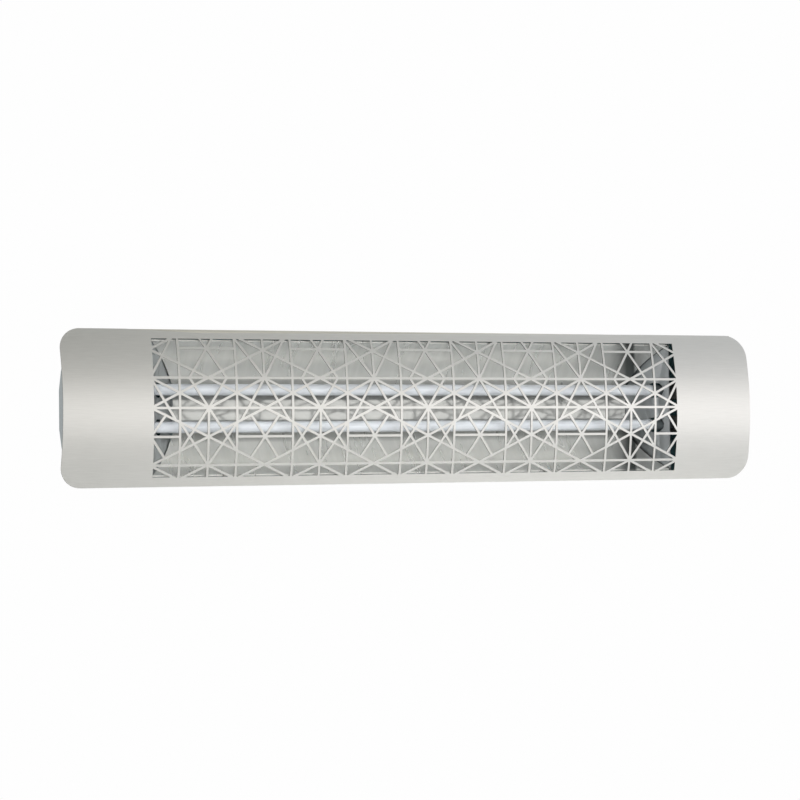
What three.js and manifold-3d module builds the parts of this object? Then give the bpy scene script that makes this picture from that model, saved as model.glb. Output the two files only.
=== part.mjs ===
import * as THREE from 'three';
import { mergeVertices } from 'three/addons/utils/BufferGeometryUtils.js';
import Module from 'manifold-3d';

// Infrared bar heater with two quartz tubes, on two tilting wall brackets.
// Millimetres, +Z up, X along the heater, front towards -Y, and the wall is the plane y = 0.
// The heater's own group has y = 0 at the crown of its bent fascia, and y grows towards the wall.

const wasm = await Module();
wasm.setup();

// Fascia: one sheet bent about an axis parallel to X. Heights on it are measured along the bend.
const fasciaLength = 1012;
const fasciaHeight = 208;
const fasciaRadius = 336;
const fasciaSheet = 1.5;
const fasciaRightCornerRadius = 32;
const fasciaLeftCornerRadius = 27;
const fasciaLeftHollow = 1.6;
const openingLength = 772;
const openingHalfHeight = 92.5;

// The top edge stands back a little between the ends, so the housing's lip shows above it
const reliefDepth = 4.7;
const reliefStart = -420;
const reliefFull = -320;
const reliefEnd = 345;

// Guard lattice: star cells and cross cells by turns, on five rows
const cellWidth = 78;
const starCells = [-4, -2, 0, 2, 4];
const crossCells = [-5, -3, -1, 1, 3, 5];
const rowTop = 79.5;
const rowUpper = 39.5;
const rowMiddle = -0.5;
const rowLower = -38.5;
const rowBottom = -76.5;
const crossTop = 77.5;
const barWidth = 3.2;

// Where the slanting bars end, measured sideways from the middle of their cell
const starRayTop = 25.5;
const starRayCrossing = 9.5;
const starFoot = 37;
const crossRayLeft = 39.5;
const crossRayRight = 31.5;
const crossLongLeg = [33.3, -16.8];
const crossShortArm = [19.5, -10.2];
const crossShortLeg = [19, -67];
const crossTopRay = 33.5;
const crossFoot = 36;

// Housing: a folded trough behind the fascia, whose walls slope in to a narrow back.
// It ends a little higher than the fascia's lower edge.
const housingLength = 981.8;
const housingSheet = 1.2;
const housingFront = 18.6;
const housingTop = 104;
const housingBottom = -101;
const housingLipWidth = 10.5;
const housingLowerLipWidth = 7; // short of the opening, so that the reflector's edge shows behind it
// Its top corners are cut away at both ends, so that nothing shows above the fascia's round corners
const topNotchStart = 484.5;
const topNotchBottom = 98;
const slopeFront = [22, 104];
const slopeBack = [74, 50];
const housingBack = 87;
const backHalfHeight = 26;
const endCapSheet = 1.5;
const endCapHalfHeight = 97;
const touchGap = 0.3;

// Reflector: two curved wings, a flat panel between them and a slanted plate at each end
const reflectorSheet = 0.8;
const wingFront = [19.6, 88.6];
const wingBulge = [51, 69];
const wingBack = [68.5, 40];
const wingTail = [74.2, 30.5]; // flat from the curve's end to just above the panel
const wingFlange = [19.95, 90.8]; // the front edge is folded out and a little back
const wingSteps = 9;
const panelDepth = 75;
const panelHalfHeight = 27;
const endPlateFrontX = 384;
const endPlateBackX = 341;
const endPlateFrontDepth = 20;
const endPlateHoleRadius = 11;

// Elements: quartz tubes with a coil, in ceramic holders carried by a plate at each end
const tubeOffset = 25;
const tubeDepth = 38;
const tubeRadius = 7.75;
const tubeBore = 6.25;
const tubeLength = 822;
const coilRadius = 4;
const coilLength = 716;
const holderInner = 398;
const holderLength = 30;
const holderRadius = 11.5;
const holderCollarRadius = 13.5;
const holderCollarLength = 5;
const carrierX = 403.4;
const carrierSheet = 1.5;
const carrierFootLength = 19;

// Brackets: the heater tilts on a bolt in each
const apexToWall = 159;
const pivotToWall = 50;
const bracketX = 300;
const wallPlateHeight = 96;
const wallPlateWidth = 60;
const wallPlateSheet = 3;
const wallScrewSpacing = 66;
const wallHoleRadius = 3.3;
const swivelSheet = 2.5;
const swivelHeight = 44;
const swivelScrewZ = 15;
const swivelWidth = 52.8;
const earRadius = 12;
const boltRadius = 4;
const holeClearance = 0.4;

// Wiring at the left end
const glandX = -437;
const terminalX = -462;
const earthX = -481;
const earthZ = 14;
const leadRadius = 1.6;
const leadSides = 6;
const leadSteps = 12;
const smallSides = 8;
const roundSides = 16;

const corners = { left_lower: [-1, -1], left_upper: [-1, 1], right_lower: [1, -1], right_upper: [1, 1] };

const heater = new THREE.Group();
heater.position.y = -apexToWall;
const wallSide = new THREE.Group();
const part = new THREE.Group();
part.add(heater, wallSide);

// ---- joining, cutting and placing ----

function solid(geometry) {
  const bare = geometry.clone();
  bare.deleteAttribute('normal');
  bare.deleteAttribute('uv');
  const merged = mergeVertices(bare, 1e-4);
  return new wasm.Manifold(new wasm.Mesh({
    numProp: 3,
    vertProperties: new Float32Array(merged.attributes.position.array),
    triVerts: new Uint32Array(merged.index.array),
  }));
}

function surface(manifold) {
  const mesh = manifold.getMesh();
  const geometry = new THREE.BufferGeometry();
  geometry.setAttribute('position', new THREE.BufferAttribute(mesh.vertProperties, 3));
  geometry.setIndex(new THREE.BufferAttribute(mesh.triVerts, 1));
  return geometry;
}

function joined(solids) {
  return solids.reduce((whole, piece) => whole.add(piece));
}

function addPiece(group, name, geometry, material) {
  const mesh = new THREE.Mesh(geometry, new THREE.MeshStandardMaterial(material));
  mesh.name = name;
  group.add(mesh);
  return mesh;
}

function polygon(points) {
  return new THREE.Shape(points.map(([a, b]) => new THREE.Vector2(a, b)));
}

// A section drawn in (depth, height), drawn out along X between two ends
function alongX(points, from, to) {
  const geometry = new THREE.ExtrudeGeometry(polygon(points), { depth: to - from, bevelEnabled: false });
  const basis = new THREE.Matrix4().makeBasis(
    new THREE.Vector3(0, 1, 0), new THREE.Vector3(0, 0, 1), new THREE.Vector3(1, 0, 0));
  return geometry.applyMatrix4(basis).translate(from, 0, 0);
}

// A shape drawn in (x, height), drawn out through a range of depth
function alongDepth(shape, from, to) {
  const geometry = new THREE.ExtrudeGeometry(
    shape, { depth: to - from, bevelEnabled: false, curveSegments: 8 });
  const basis = new THREE.Matrix4().makeBasis(
    new THREE.Vector3(1, 0, 0), new THREE.Vector3(0, 0, 1), new THREE.Vector3(0, -1, 0));
  return geometry.applyMatrix4(basis).translate(0, to, 0);
}

function block(x0, x1, y0, y1, z0, z1) {
  return new THREE.BoxGeometry(x1 - x0, y1 - y0, z1 - z0)
    .translate((x0 + x1) / 2, (y0 + y1) / 2, (z0 + z1) / 2);
}

function cylinder(radius, length, sides, axis, centre) {
  const geometry = new THREE.CylinderGeometry(radius, radius, length, sides);
  if (axis === 'x') geometry.rotateZ(-Math.PI / 2);
  if (axis === 'z') geometry.rotateX(Math.PI / 2);
  return geometry.translate(...centre);
}

// A profile of (radius, distance) pairs turned about X or about the depth axis
function turned(profile, sides, axis) {
  const points = profile.map(([radius, along]) => new THREE.Vector2(radius, along));
  const geometry = new THREE.LatheGeometry(points, sides);
  if (axis === 'x') geometry.rotateZ(-Math.PI / 2);
  return geometry;
}

// The closed section of a sheet whose face follows a path, with its thickness on the path's right
function sheetSection(path, thickness) {
  const inner = path.map((point, i) => {
    const before = path[Math.max(i - 1, 0)];
    const after = path[Math.min(i + 1, path.length - 1)];
    const into = new THREE.Vector2(point[0] - before[0], point[1] - before[1]);
    const out = new THREE.Vector2(after[0] - point[0], after[1] - point[1]);
    if (i === 0) into.copy(out);
    if (i === path.length - 1) out.copy(into);
    into.normalize();
    out.normalize();
    const mitre = new THREE.Vector2(into.y + out.y, -into.x - out.x).normalize();
    const reach = thickness / mitre.dot(new THREE.Vector2(into.y, -into.x));
    return [point[0] + mitre.x * reach, point[1] + mitre.y * reach];
  });
  return [...path, ...inner.reverse()];
}

// The same piece for the left end: mirrored in X, with its faces turned outwards again
function mirroredPiece(geometry) {
  const piece = geometry.clone().scale(-1, 1, 1);
  const order = piece.index.array;
  for (let i = 0; i < order.length; i += 3) {
    [order[i], order[i + 1]] = [order[i + 1], order[i]];
  }
  return piece;
}

function mirrored(path) {
  return path.map(([depth, height]) => [depth, -height]);
}

// A screw along +depth from its head: its axis at (x, z), its head's face at a depth
function screw(x, z, headDepth, headRadius, headLength, shankRadius, shankLength) {
  const profile = [
    [0, 0], [headRadius * 0.8, 0], [headRadius, headLength * 0.4], [headRadius, headLength],
    [shankRadius, headLength], [shankRadius, headLength + shankLength], [0, headLength + shankLength],
  ];
  return turned(profile, smallSides, 'y').translate(x, headDepth, z);
}

// ---- the fascia and its guard lattice ----

const bendAngle = (height) => height / fasciaRadius;
const bentHeight = (height) => fasciaRadius * Math.sin(bendAngle(height));
const edgeHeight = fasciaRadius * Math.asin(fasciaHeight / 2 / fasciaRadius);

// Strips of the bend end on the lattice's rows and halfway between them
function bendLines() {
  const halfway = (a, b) => (a + b) / 2;
  const rows = [rowBottom, rowLower, rowMiddle, rowUpper, rowTop];
  const between = rows.slice(1).map((row, i) => halfway(rows[i], row));
  const lines = [-edgeHeight, -openingHalfHeight, ...rows, ...between, openingHalfHeight, edgeHeight];
  return lines.sort((a, b) => a - b);
}

function arcPoints(radius) {
  return bendLines().map((height) => {
    const angle = bendAngle(height);
    return [fasciaRadius - radius * Math.cos(angle), radius * Math.sin(angle)];
  });
}

function fasciaOutline() {
  const right = fasciaLength / 2 - fasciaRightCornerRadius;
  const left = -fasciaLength / 2 - fasciaLeftHollow + fasciaLeftCornerRadius;
  const half = fasciaHeight / 2;
  const outline = new THREE.Shape();
  outline.moveTo(left, -half);
  outline.lineTo(right, -half);
  outline.absarc(right, -half + fasciaRightCornerRadius, fasciaRightCornerRadius, -Math.PI / 2, 0, false);
  outline.absarc(right, half - fasciaRightCornerRadius, fasciaRightCornerRadius, 0, Math.PI / 2, false);
  outline.lineTo(reliefEnd, half);
  outline.lineTo(reliefFull, half - reliefDepth);
  outline.lineTo(reliefStart, half);
  outline.absarc(left, half - fasciaLeftCornerRadius, fasciaLeftCornerRadius, Math.PI / 2, Math.PI, false);
  outline.quadraticCurveTo(-fasciaLength / 2 + fasciaLeftHollow, 0,
    left - fasciaLeftCornerRadius, -half + fasciaLeftCornerRadius);
  outline.absarc(left, -half + fasciaLeftCornerRadius, fasciaLeftCornerRadius, Math.PI, Math.PI * 1.5, false);
  return outline;
}

// Depths from in front of the fascia to behind it, for what cuts right through
const throughFascia = [-10, 40];

// Bars run a little past the opening, into the sheet round it
const beyondOpening = openingHalfHeight + 2;

function bar(x0, height0, x1, height1) {
  const from = new THREE.Vector2(x0, bentHeight(height0));
  const to = new THREE.Vector2(x1, bentHeight(height1));
  const along = to.clone().sub(from).setLength(barWidth / 2);
  const across = new THREE.Vector2(-along.y, along.x);
  from.sub(along);
  to.add(along);
  const outline = [from.clone().add(across), from.clone().sub(across),
    to.clone().sub(across), to.clone().add(across)];
  return solid(alongDepth(new THREE.Shape(outline), ...throughFascia));
}

function starCellBars(x) {
  const half = cellWidth / 2;
  const bars = [
    bar(x - half, rowTop, x + half, rowTop),
    bar(x, rowMiddle, x, -beyondOpening),
  ];
  for (const side of [-1, 1]) {
    bars.push(
      bar(x, rowMiddle, x + side * starRayTop, rowUpper),
      bar(x + side * starRayTop, rowUpper, x - side * starRayCrossing, beyondOpening),
      bar(x, rowMiddle, x + side * half, (rowLower + rowBottom) / 2),
      bar(x, rowBottom, x + side * half, (rowLower + rowMiddle) / 2),
      bar(x, rowBottom, x + side * starFoot, -beyondOpening),
      bar(x, rowMiddle, x + side * cellWidth, rowUpper),
      bar(x, rowUpper, x + side * cellWidth, rowMiddle),
      bar(x, rowLower, x + side * cellWidth, rowMiddle),
    );
  }
  return bars;
}

function crossCellBars(x) {
  const half = cellWidth / 2;
  const bars = [
    bar(x - half, rowLower, x + half, rowLower),
    bar(x, rowUpper, x, beyondOpening),
    bar(x, rowUpper, x - crossRayLeft, beyondOpening),
    bar(x, rowUpper, x + crossRayRight, beyondOpening),
  ];
  for (const side of [-1, 1]) {
    bars.push(
      bar(x, rowUpper, x + side * crossLongLeg[0], crossLongLeg[1]),
      bar(x, rowLower, x + side * crossShortArm[0], crossShortArm[1]),
      bar(x, rowLower, x + side * crossShortLeg[0], crossShortLeg[1]),
      bar(x + side * cellWidth, rowUpper, x, crossTop),
      bar(x, crossTop, x + side * crossTopRay, beyondOpening),
      bar(x + side * cellWidth, rowLower, x, rowBottom),
      bar(x, rowBottom, x + side * crossFoot, -beyondOpening),
    );
  }
  return bars;
}

function lattice() {
  const end = openingLength / 2 + barWidth;
  const bars = [rowUpper, rowMiddle, rowBottom].map((row) => bar(-end, row, end, row));
  for (const cell of starCells) {
    const x = cell * cellWidth;
    bars.push(...starCellBars(x));
    for (const side of [-1, 1]) {
      const post = x + side * cellWidth / 2;
      bars.push(bar(post, -beyondOpening, post, beyondOpening));
    }
  }
  for (const cell of crossCells) bars.push(...crossCellBars(cell * cellWidth));
  return joined(bars);
}

const studX = 452;
const studZ = 66;
const studRadius = 2.5;
const studTip = 26;
const studSides = 12;
const studTabHeight = 28;
const studTabReach = 12;

function makeFascia() {
  const half = fasciaLength / 2 + fasciaLeftHollow + 1;
  const section = [...arcPoints(fasciaRadius), ...arcPoints(fasciaRadius - fasciaSheet).reverse()];
  const bentSheet = solid(alongX(section, -half, half));
  const outline = solid(alongDepth(fasciaOutline(), ...throughFascia));
  const openingZ = bentHeight(openingHalfHeight);
  const opening = solid(block(-openingLength / 2, openingLength / 2, ...throughFascia, -openingZ, openingZ));
  let fascia = bentSheet.intersect(outline).subtract(opening.subtract(lattice()));
  const studRoot = fasciaRadius - Math.sqrt(fasciaRadius ** 2 - studZ ** 2) + fasciaSheet / 2;
  for (const x of [-studX, studX]) {
    for (const z of [-studZ, studZ]) {
      const middle = (studRoot + studTip) / 2;
      fascia = fascia.add(solid(cylinder(studRadius, studTip - studRoot, studSides, 'y', [x, middle, z])));
    }
  }
  addPiece(heater, 'front_fascia', surface(fascia), { color: 0xd4d1cb, roughness: 0.34, metalness: 1 });
}

// ---- the housing, its end caps and their screws ----

const slope = new THREE.Vector2(slopeBack[0] - slopeFront[0], slopeBack[1] - slopeFront[1]).normalize();
const slopeNormal = new THREE.Vector2(-slope.y, slope.x);
const slopeMiddle = new THREE.Vector2((slopeFront[0] + slopeBack[0]) / 2, (slopeFront[1] + slopeBack[1]) / 2);

// The depth at which a sloping wall's outside reaches a height
function slopeDepth(height) {
  return slopeFront[0] + (slopeFront[1] - Math.abs(height)) * slope.x / -slope.y;
}

const housingPath = [
  [housingFront, housingTop - housingLipWidth],
  [housingFront, housingTop],
  slopeFront,
  slopeBack,
  [housingBack, backHalfHeight],
  [housingBack, -backHalfHeight],
  [slopeBack[0], -slopeBack[1]],
  [slopeDepth(housingBottom), housingBottom],
  [housingFront, housingBottom],
  [housingFront, housingBottom + housingLowerLipWidth],
];
const capOutline = [
  [housingFront, endCapHalfHeight],
  [slopeDepth(endCapHalfHeight), endCapHalfHeight],
  ...housingPath.slice(3, 7),
  [slopeDepth(endCapHalfHeight), -endCapHalfHeight],
  [housingFront, -endCapHalfHeight],
];
const capScrewX = housingLength / 2 - 8;
const capScrewHole = 2.4;

// A screw or a hole square to the upper or the lower sloping wall, near an end
function onSlope(geometry, x, side) {
  const turn = Math.atan2(slopeNormal.y * side, slopeNormal.x);
  return geometry.rotateX(turn).translate(x, slopeMiddle.x, slopeMiddle.y * side);
}

const carrierScrewX = carrierX + 12;
const carrierScrewZ = 15;
const endPlateScrewX = endPlateBackX + 9;
const backScrews = [];
for (const side of [-1, 1]) {
  backScrews.push([side * bracketX, -swivelScrewZ], [side * bracketX, swivelScrewZ]);
  backScrews.push([side * carrierScrewX, -carrierScrewZ], [side * carrierScrewX, carrierScrewZ]);
  backScrews.push([side * endPlateScrewX, 0]);
}
const backHoleRadius = 2.9;
const footHoleRadius = 2.4;
const glandHoleRadius = 8.4;
const earthHoleRadius = 2.5;

function makeHousing() {
  const half = housingLength / 2;
  let housing = solid(alongX(sheetSection(housingPath, housingSheet), -half, half));
  for (const end of [-1, 1]) {
    const [left, right] = [end * topNotchStart, end * (half + 1)].sort((a, b) => a - b);
    housing = housing.subtract(solid(block(left, right,
      housingFront - 1, slopeDepth(topNotchBottom) + 1, topNotchBottom, housingTop + 1)));
  }
  for (const [x, z] of backScrews) {
    housing = housing.subtract(solid(cylinder(backHoleRadius, 8, smallSides, 'y', [x, housingBack, z])));
  }
  housing = housing.subtract(solid(cylinder(glandHoleRadius, 8, roundSides, 'y', [glandX, housingBack, 0])));
  housing = housing.subtract(solid(
    cylinder(earthHoleRadius, 8, smallSides, 'y', [earthX, housingBack, earthZ])));
  for (const end of [-1, 1]) {
    for (const side of [-1, 1]) {
      const hole = new THREE.CylinderGeometry(capScrewHole, capScrewHole, 10, smallSides);
      housing = housing.subtract(solid(onSlope(hole, end * capScrewX, side)));
    }
  }
  addPiece(heater, 'housing', surface(housing), { color: 0x9aa1a4, roughness: 0.45, metalness: 0.9 });
}

function makeEndCap(name, end) {
  const inside = housingLength / 2 + touchGap;
  const flangeLength = 15;
  const offset = housingSheet + touchGap;
  const flangeEnds = [0.15, 0.85].map((share) => [
    THREE.MathUtils.lerp(slopeFront[0], slopeBack[0], share) - slopeNormal.x * offset,
    THREE.MathUtils.lerp(slopeFront[1], slopeBack[1], share) - slopeNormal.y * offset,
  ]);
  const flange = sheetSection(flangeEnds, housingSheet);
  let cap = solid(alongX(capOutline, inside, inside + endCapSheet));
  for (const side of [-1, 1]) {
    const path = side === 1 ? flange : mirrored(flange).reverse();
    cap = cap.add(solid(alongX(path, inside - flangeLength, inside + endCapSheet / 2)));
    const tabBottom = side * studZ - studTabHeight / 2;
    cap = cap.add(solid(block(studX - studTabReach, inside + endCapSheet / 2,
      housingFront, housingFront + endCapSheet, tabBottom, tabBottom + studTabHeight)));
    cap = cap.subtract(solid(
      cylinder(studRadius + 0.6, 8, smallSides, 'y', [studX, housingFront, side * studZ])));
    const hole = new THREE.CylinderGeometry(capScrewHole, capScrewHole, 10, smallSides);
    cap = cap.subtract(solid(onSlope(hole, capScrewX, side)));
  }
  const geometry = end < 0 ? mirroredPiece(surface(cap)) : surface(cap);
  addPiece(heater, name, geometry, { color: 0x8c979d, roughness: 0.5, metalness: 0.9 });
}

function makeCapScrews() {
  const shank = 6;
  const headTop = shank + 2.4;
  const profile = [[0, 0], [2, 0], [2, shank], [3.5, shank],
    [3.5, headTop - 1], [2.6, headTop], [0, headTop]];
  for (const [place, [end, side]] of Object.entries(corners)) {
    const shape = turned(profile, smallSides, 'y').translate(0, touchGap - shank, 0);
    addPiece(heater, `end_cap_screw_${place}`, onSlope(shape, end * capScrewX, side),
      { color: 0xb9bcbf, roughness: 0.3, metalness: 1 });
  }
}

function hexNut(radius, bore, length) {
  const nut = solid(cylinder(radius, length, 6, 'y', [0, 0, 0]));
  return nut.subtract(solid(cylinder(bore, length + 2, 10, 'y', [0, 0, 0])));
}

function makeFasciaNuts() {
  const length = 4;
  const radius = 4.6;
  const front = housingFront + endCapSheet + touchGap;
  for (const [place, [end, side]] of Object.entries(corners)) {
    const geometry = surface(hexNut(radius, studRadius + 0.45, length));
    geometry.translate(end * studX, front + length / 2, side * studZ);
    addPiece(heater, `fascia_nut_${place}`, geometry, { color: 0xb4b7ba, roughness: 0.35, metalness: 1 });
  }
}

// ---- the reflector ----

function wingPath() {
  const curve = new THREE.QuadraticBezierCurve(
    new THREE.Vector2(...wingFront), new THREE.Vector2(...wingBulge), new THREE.Vector2(...wingBack));
  const points = curve.getPoints(wingSteps).map((point) => [point.x, point.y]);
  return [wingFlange, ...points, wingTail].reverse();
}

// The space between the two slanted end plates, a little clear of them
function betweenEndPlates(clearance) {
  const shape = new THREE.Shape();
  const atDepth = (depth) => endPlateFrontX - (endPlateFrontX - endPlateBackX)
    * (depth - endPlateFrontDepth) / (panelDepth - endPlateFrontDepth) - clearance;
  shape.moveTo(-atDepth(0), 0);
  shape.lineTo(atDepth(0), 0);
  shape.lineTo(atDepth(85), 85);
  shape.lineTo(-atDepth(85), 85);
  const geometry = new THREE.ExtrudeGeometry(shape, { depth: 220, bevelEnabled: false });
  return solid(geometry.translate(0, 0, -110));
}

function makeReflector() {
  const polished = { color: 0xc4c5c1, roughness: 0.22, metalness: 1 };
  const room = betweenEndPlates(0.4);
  const section = sheetSection(wingPath(), reflectorSheet);
  const upper = solid(alongX(section, -400, 400)).intersect(room);
  const lower = solid(alongX(mirrored(section).reverse(), -400, 400)).intersect(room);
  addPiece(heater, 'reflector_wing_upper', surface(upper), polished);
  addPiece(heater, 'reflector_wing_lower', surface(lower), polished);
  const fold = 4;
  const panelPath = [
    [panelDepth + fold, -panelHalfHeight], [panelDepth, -panelHalfHeight],
    [panelDepth, panelHalfHeight], [panelDepth + fold, panelHalfHeight],
  ];
  const panel = solid(alongX(sheetSection(panelPath, reflectorSheet), -400, 400)).intersect(room);
  addPiece(heater, 'reflector_back_panel', surface(panel), polished);
}

function makeReflectorEndPlate(name, end) {
  const sheet = 1.2;
  const legBack = housingBack - housingSheet - touchGap;
  const legHalfHeight = 20;
  const footLength = 18;
  const footHalfHeight = 16;
  const backHalfWidth = 32;
  const back = panelDepth + 1.5;
  const shape = new THREE.Shape();
  shape.moveTo(endPlateFrontX, endPlateFrontDepth);
  shape.lineTo(endPlateFrontX + sheet, endPlateFrontDepth);
  shape.lineTo(endPlateBackX + sheet, back);
  shape.lineTo(endPlateBackX, back);
  const slanted = solid(new THREE.ExtrudeGeometry(shape, { depth: 190, bevelEnabled: false })
    .translate(0, 0, -95));
  const rim = 2.5;
  const upperEdge = wingPath().reverse().slice(1).map(([depth, height]) => [depth, height + rim]);
  const outline = [...upperEdge, [back, backHalfWidth], [back, -backHalfWidth],
    ...mirrored(upperEdge).reverse()];
  let plate = slanted.intersect(solid(alongX(outline.reverse(), endPlateBackX - 20, endPlateFrontX + 20)));
  for (const side of [-1, 1]) {
    plate = plate.subtract(solid(
      cylinder(endPlateHoleRadius, 80, 20, 'x', [endPlateBackX + 30, tubeDepth, side * tubeOffset])));
  }
  plate = plate.add(solid(block(
    endPlateBackX, endPlateBackX + sheet, panelDepth + 1, legBack, -legHalfHeight, legHalfHeight)));
  plate = plate.add(solid(block(
    endPlateBackX, endPlateBackX + footLength, legBack - sheet, legBack, -footHalfHeight, footHalfHeight)));
  plate = plate.subtract(solid(cylinder(footHoleRadius, 8, smallSides, 'y', [endPlateScrewX, legBack, 0])));
  const geometry = end < 0 ? mirroredPiece(surface(plate)) : surface(plate);
  addPiece(heater, name, geometry, { color: 0xa9adad, roughness: 0.3, metalness: 1 });
}

// ---- the heating elements, their holders and carriers ----

function makeElement(level, side) {
  const half = tubeLength / 2;
  const ring = [[tubeBore, -half], [tubeRadius, -half],
    [tubeRadius, half], [tubeBore, half], [tubeBore, -half]];
  const tube = turned(ring, 24, 'x').translate(0, tubeDepth, side * tubeOffset);
  addPiece(heater, `quartz_tube_${level}`, tube,
    { color: 0xd6dce3, roughness: 0.25, metalness: 0, transparent: true, opacity: 0.75 });
  const pin = 1.2;
  const pinEnd = holderInner + holderLength - 2;
  const halfCoil = coilLength / 2;
  const profile = [[0, -pinEnd], [pin, -pinEnd], [pin, -halfCoil], [coilRadius, -halfCoil],
    [coilRadius, halfCoil], [pin, halfCoil], [pin, pinEnd], [0, pinEnd]];
  const coil = turned(profile, roundSides, 'x').translate(0, tubeDepth, side * tubeOffset);
  addPiece(heater, `heating_coil_${level}`, coil, { color: 0x8d8f90, roughness: 0.5, metalness: 0.8 });
}

function makeHolder(name, end, side) {
  const tubeSeat = 14;
  const outer = holderInner + holderLength;
  const profile = [
    [tubeRadius + 0.4, holderInner], [holderCollarRadius, holderInner],
    [holderCollarRadius, holderInner + holderCollarLength], [holderRadius, holderInner + holderCollarLength],
    [holderRadius, outer], [2, outer], [2, holderInner + tubeSeat],
    [tubeRadius + 0.4, holderInner + tubeSeat], [tubeRadius + 0.4, holderInner],
  ];
  const holder = turned(profile, roundSides, 'x');
  if (end < 0) holder.rotateZ(Math.PI);
  holder.translate(0, tubeDepth, side * tubeOffset);
  addPiece(heater, name, holder, { color: 0xe9e4d8, roughness: 0.7, metalness: 0 });
}

function makeCarrier(name, end) {
  const back = housingBack - housingSheet - touchGap;
  const halfHeight = 44;
  const backHalf = 22;
  const footHalf = 20;
  const outline = [[24, -halfHeight], [70, -halfHeight], [back, -backHalf],
    [back, backHalf], [70, halfHeight], [24, halfHeight]];
  let carrier = solid(alongX(outline, carrierX, carrierX + carrierSheet));
  for (const side of [-1, 1]) {
    carrier = carrier.subtract(solid(
      cylinder(holderRadius + holeClearance, 20, 20, 'x', [carrierX, tubeDepth, side * tubeOffset])));
  }
  carrier = carrier.add(solid(block(
    carrierX, carrierX + carrierFootLength, back - carrierSheet, back, -footHalf, footHalf)));
  for (const z of [-carrierScrewZ, carrierScrewZ]) {
    carrier = carrier.subtract(solid(
      cylinder(footHoleRadius, 10, smallSides, 'y', [carrierScrewX, back, z])));
  }
  const geometry = end < 0 ? mirroredPiece(surface(carrier)) : surface(carrier);
  addPiece(heater, name, geometry, { color: 0xa2a7a9, roughness: 0.45, metalness: 0.9 });
}

// Screws that come in from behind through the housing's back into a foot
function makeBackScrew(name, x, z) {
  const headLength = 2.4;
  const reach = 7;
  const geometry = screw(0, 0, 0, 3.8, headLength, 2, reach);
  geometry.rotateX(Math.PI).translate(x, housingBack + headLength + touchGap, z);
  addPiece(heater, name, geometry, { color: 0xb9bcbf, roughness: 0.3, metalness: 1 });
}

// ---- wiring ----

function wire(name, points, color) {
  const path = new THREE.CatmullRomCurve3(
    points.map((point) => new THREE.Vector3(...point)), false, 'centripetal');
  const section = [];
  for (let side = 0; side < leadSides; side += 1) {
    const angle = Math.PI * 2 * side / leadSides;
    section.push([leadRadius * Math.cos(angle), leadRadius * Math.sin(angle)]);
  }
  const geometry = new THREE.ExtrudeGeometry(polygon(section),
    { extrudePath: path, steps: leadSteps, bevelEnabled: false });
  addPiece(heater, name, geometry, { color, roughness: 0.6, metalness: 0 });
}

function makeWiring() {
  const holderEnd = holderInner + holderLength + touchGap;
  const blockFront = 68;
  const blockBack = housingBack - housingSheet - touchGap;
  let terminal = solid(block(terminalX - 10, terminalX + 10, blockFront, blockBack, -20, 20));
  const portHalf = 4;
  const portFront = blockFront + 4;
  for (const z of [-13, 0, 13]) {
    terminal = terminal.subtract(solid(block(terminalX - 11, terminalX - 4,
      portFront, portFront + 7, z - portHalf, z + portHalf)));
    terminal = terminal.subtract(solid(cylinder(2.6, 6, 10, 'y', [terminalX - 5, blockFront + 1, z])));
  }
  addPiece(heater, 'terminal_block', surface(terminal), { color: 0xece7dc, roughness: 0.6, metalness: 0 });
  const leadTop = blockFront - touchGap;
  for (const [level, side] of [['lower', -1], ['upper', 1]]) {
    wire(`lead_${level}`, [
      [-holderEnd, tubeDepth, side * tubeOffset], [-holderEnd - 7, tubeDepth, side * tubeOffset],
      [-holderEnd - 20, tubeDepth + 3, side * 22], [terminalX + 3, tubeDepth + 14, side * 15],
      [terminalX + 3, leadTop - 6, side * 12], [terminalX + 3, leadTop, side * 12],
    ], 0xd9d4c6);
  }
  wire('link_lead', [
    [holderEnd, tubeDepth, tubeOffset], [holderEnd + 8, tubeDepth, tubeOffset],
    [holderEnd + 22, tubeDepth, 14], [holderEnd + 26, tubeDepth, 0], [holderEnd + 22, tubeDepth, -14],
    [holderEnd + 8, tubeDepth, -tubeOffset], [holderEnd, tubeDepth, -tubeOffset],
  ], 0xd9d4c6);
  const earthHead = 2.4;
  const earthFront = blockBack - earthHead;
  wire('earth_lead', [
    [terminalX + 3, leadTop, 0], [terminalX + 3, leadTop - 7, 0], [terminalX - 6, leadTop - 14, 5],
    [earthX, leadTop - 8, earthZ - 2], [earthX, leadTop + 4, earthZ], [earthX, earthFront - touchGap, earthZ],
  ], 0x6f9a45);
  addPiece(heater, 'earth_screw', screw(earthX, earthZ, earthFront, 4, earthHead, 2, 6),
    { color: 0xc2a45c, roughness: 0.35, metalness: 1 });
}

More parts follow.
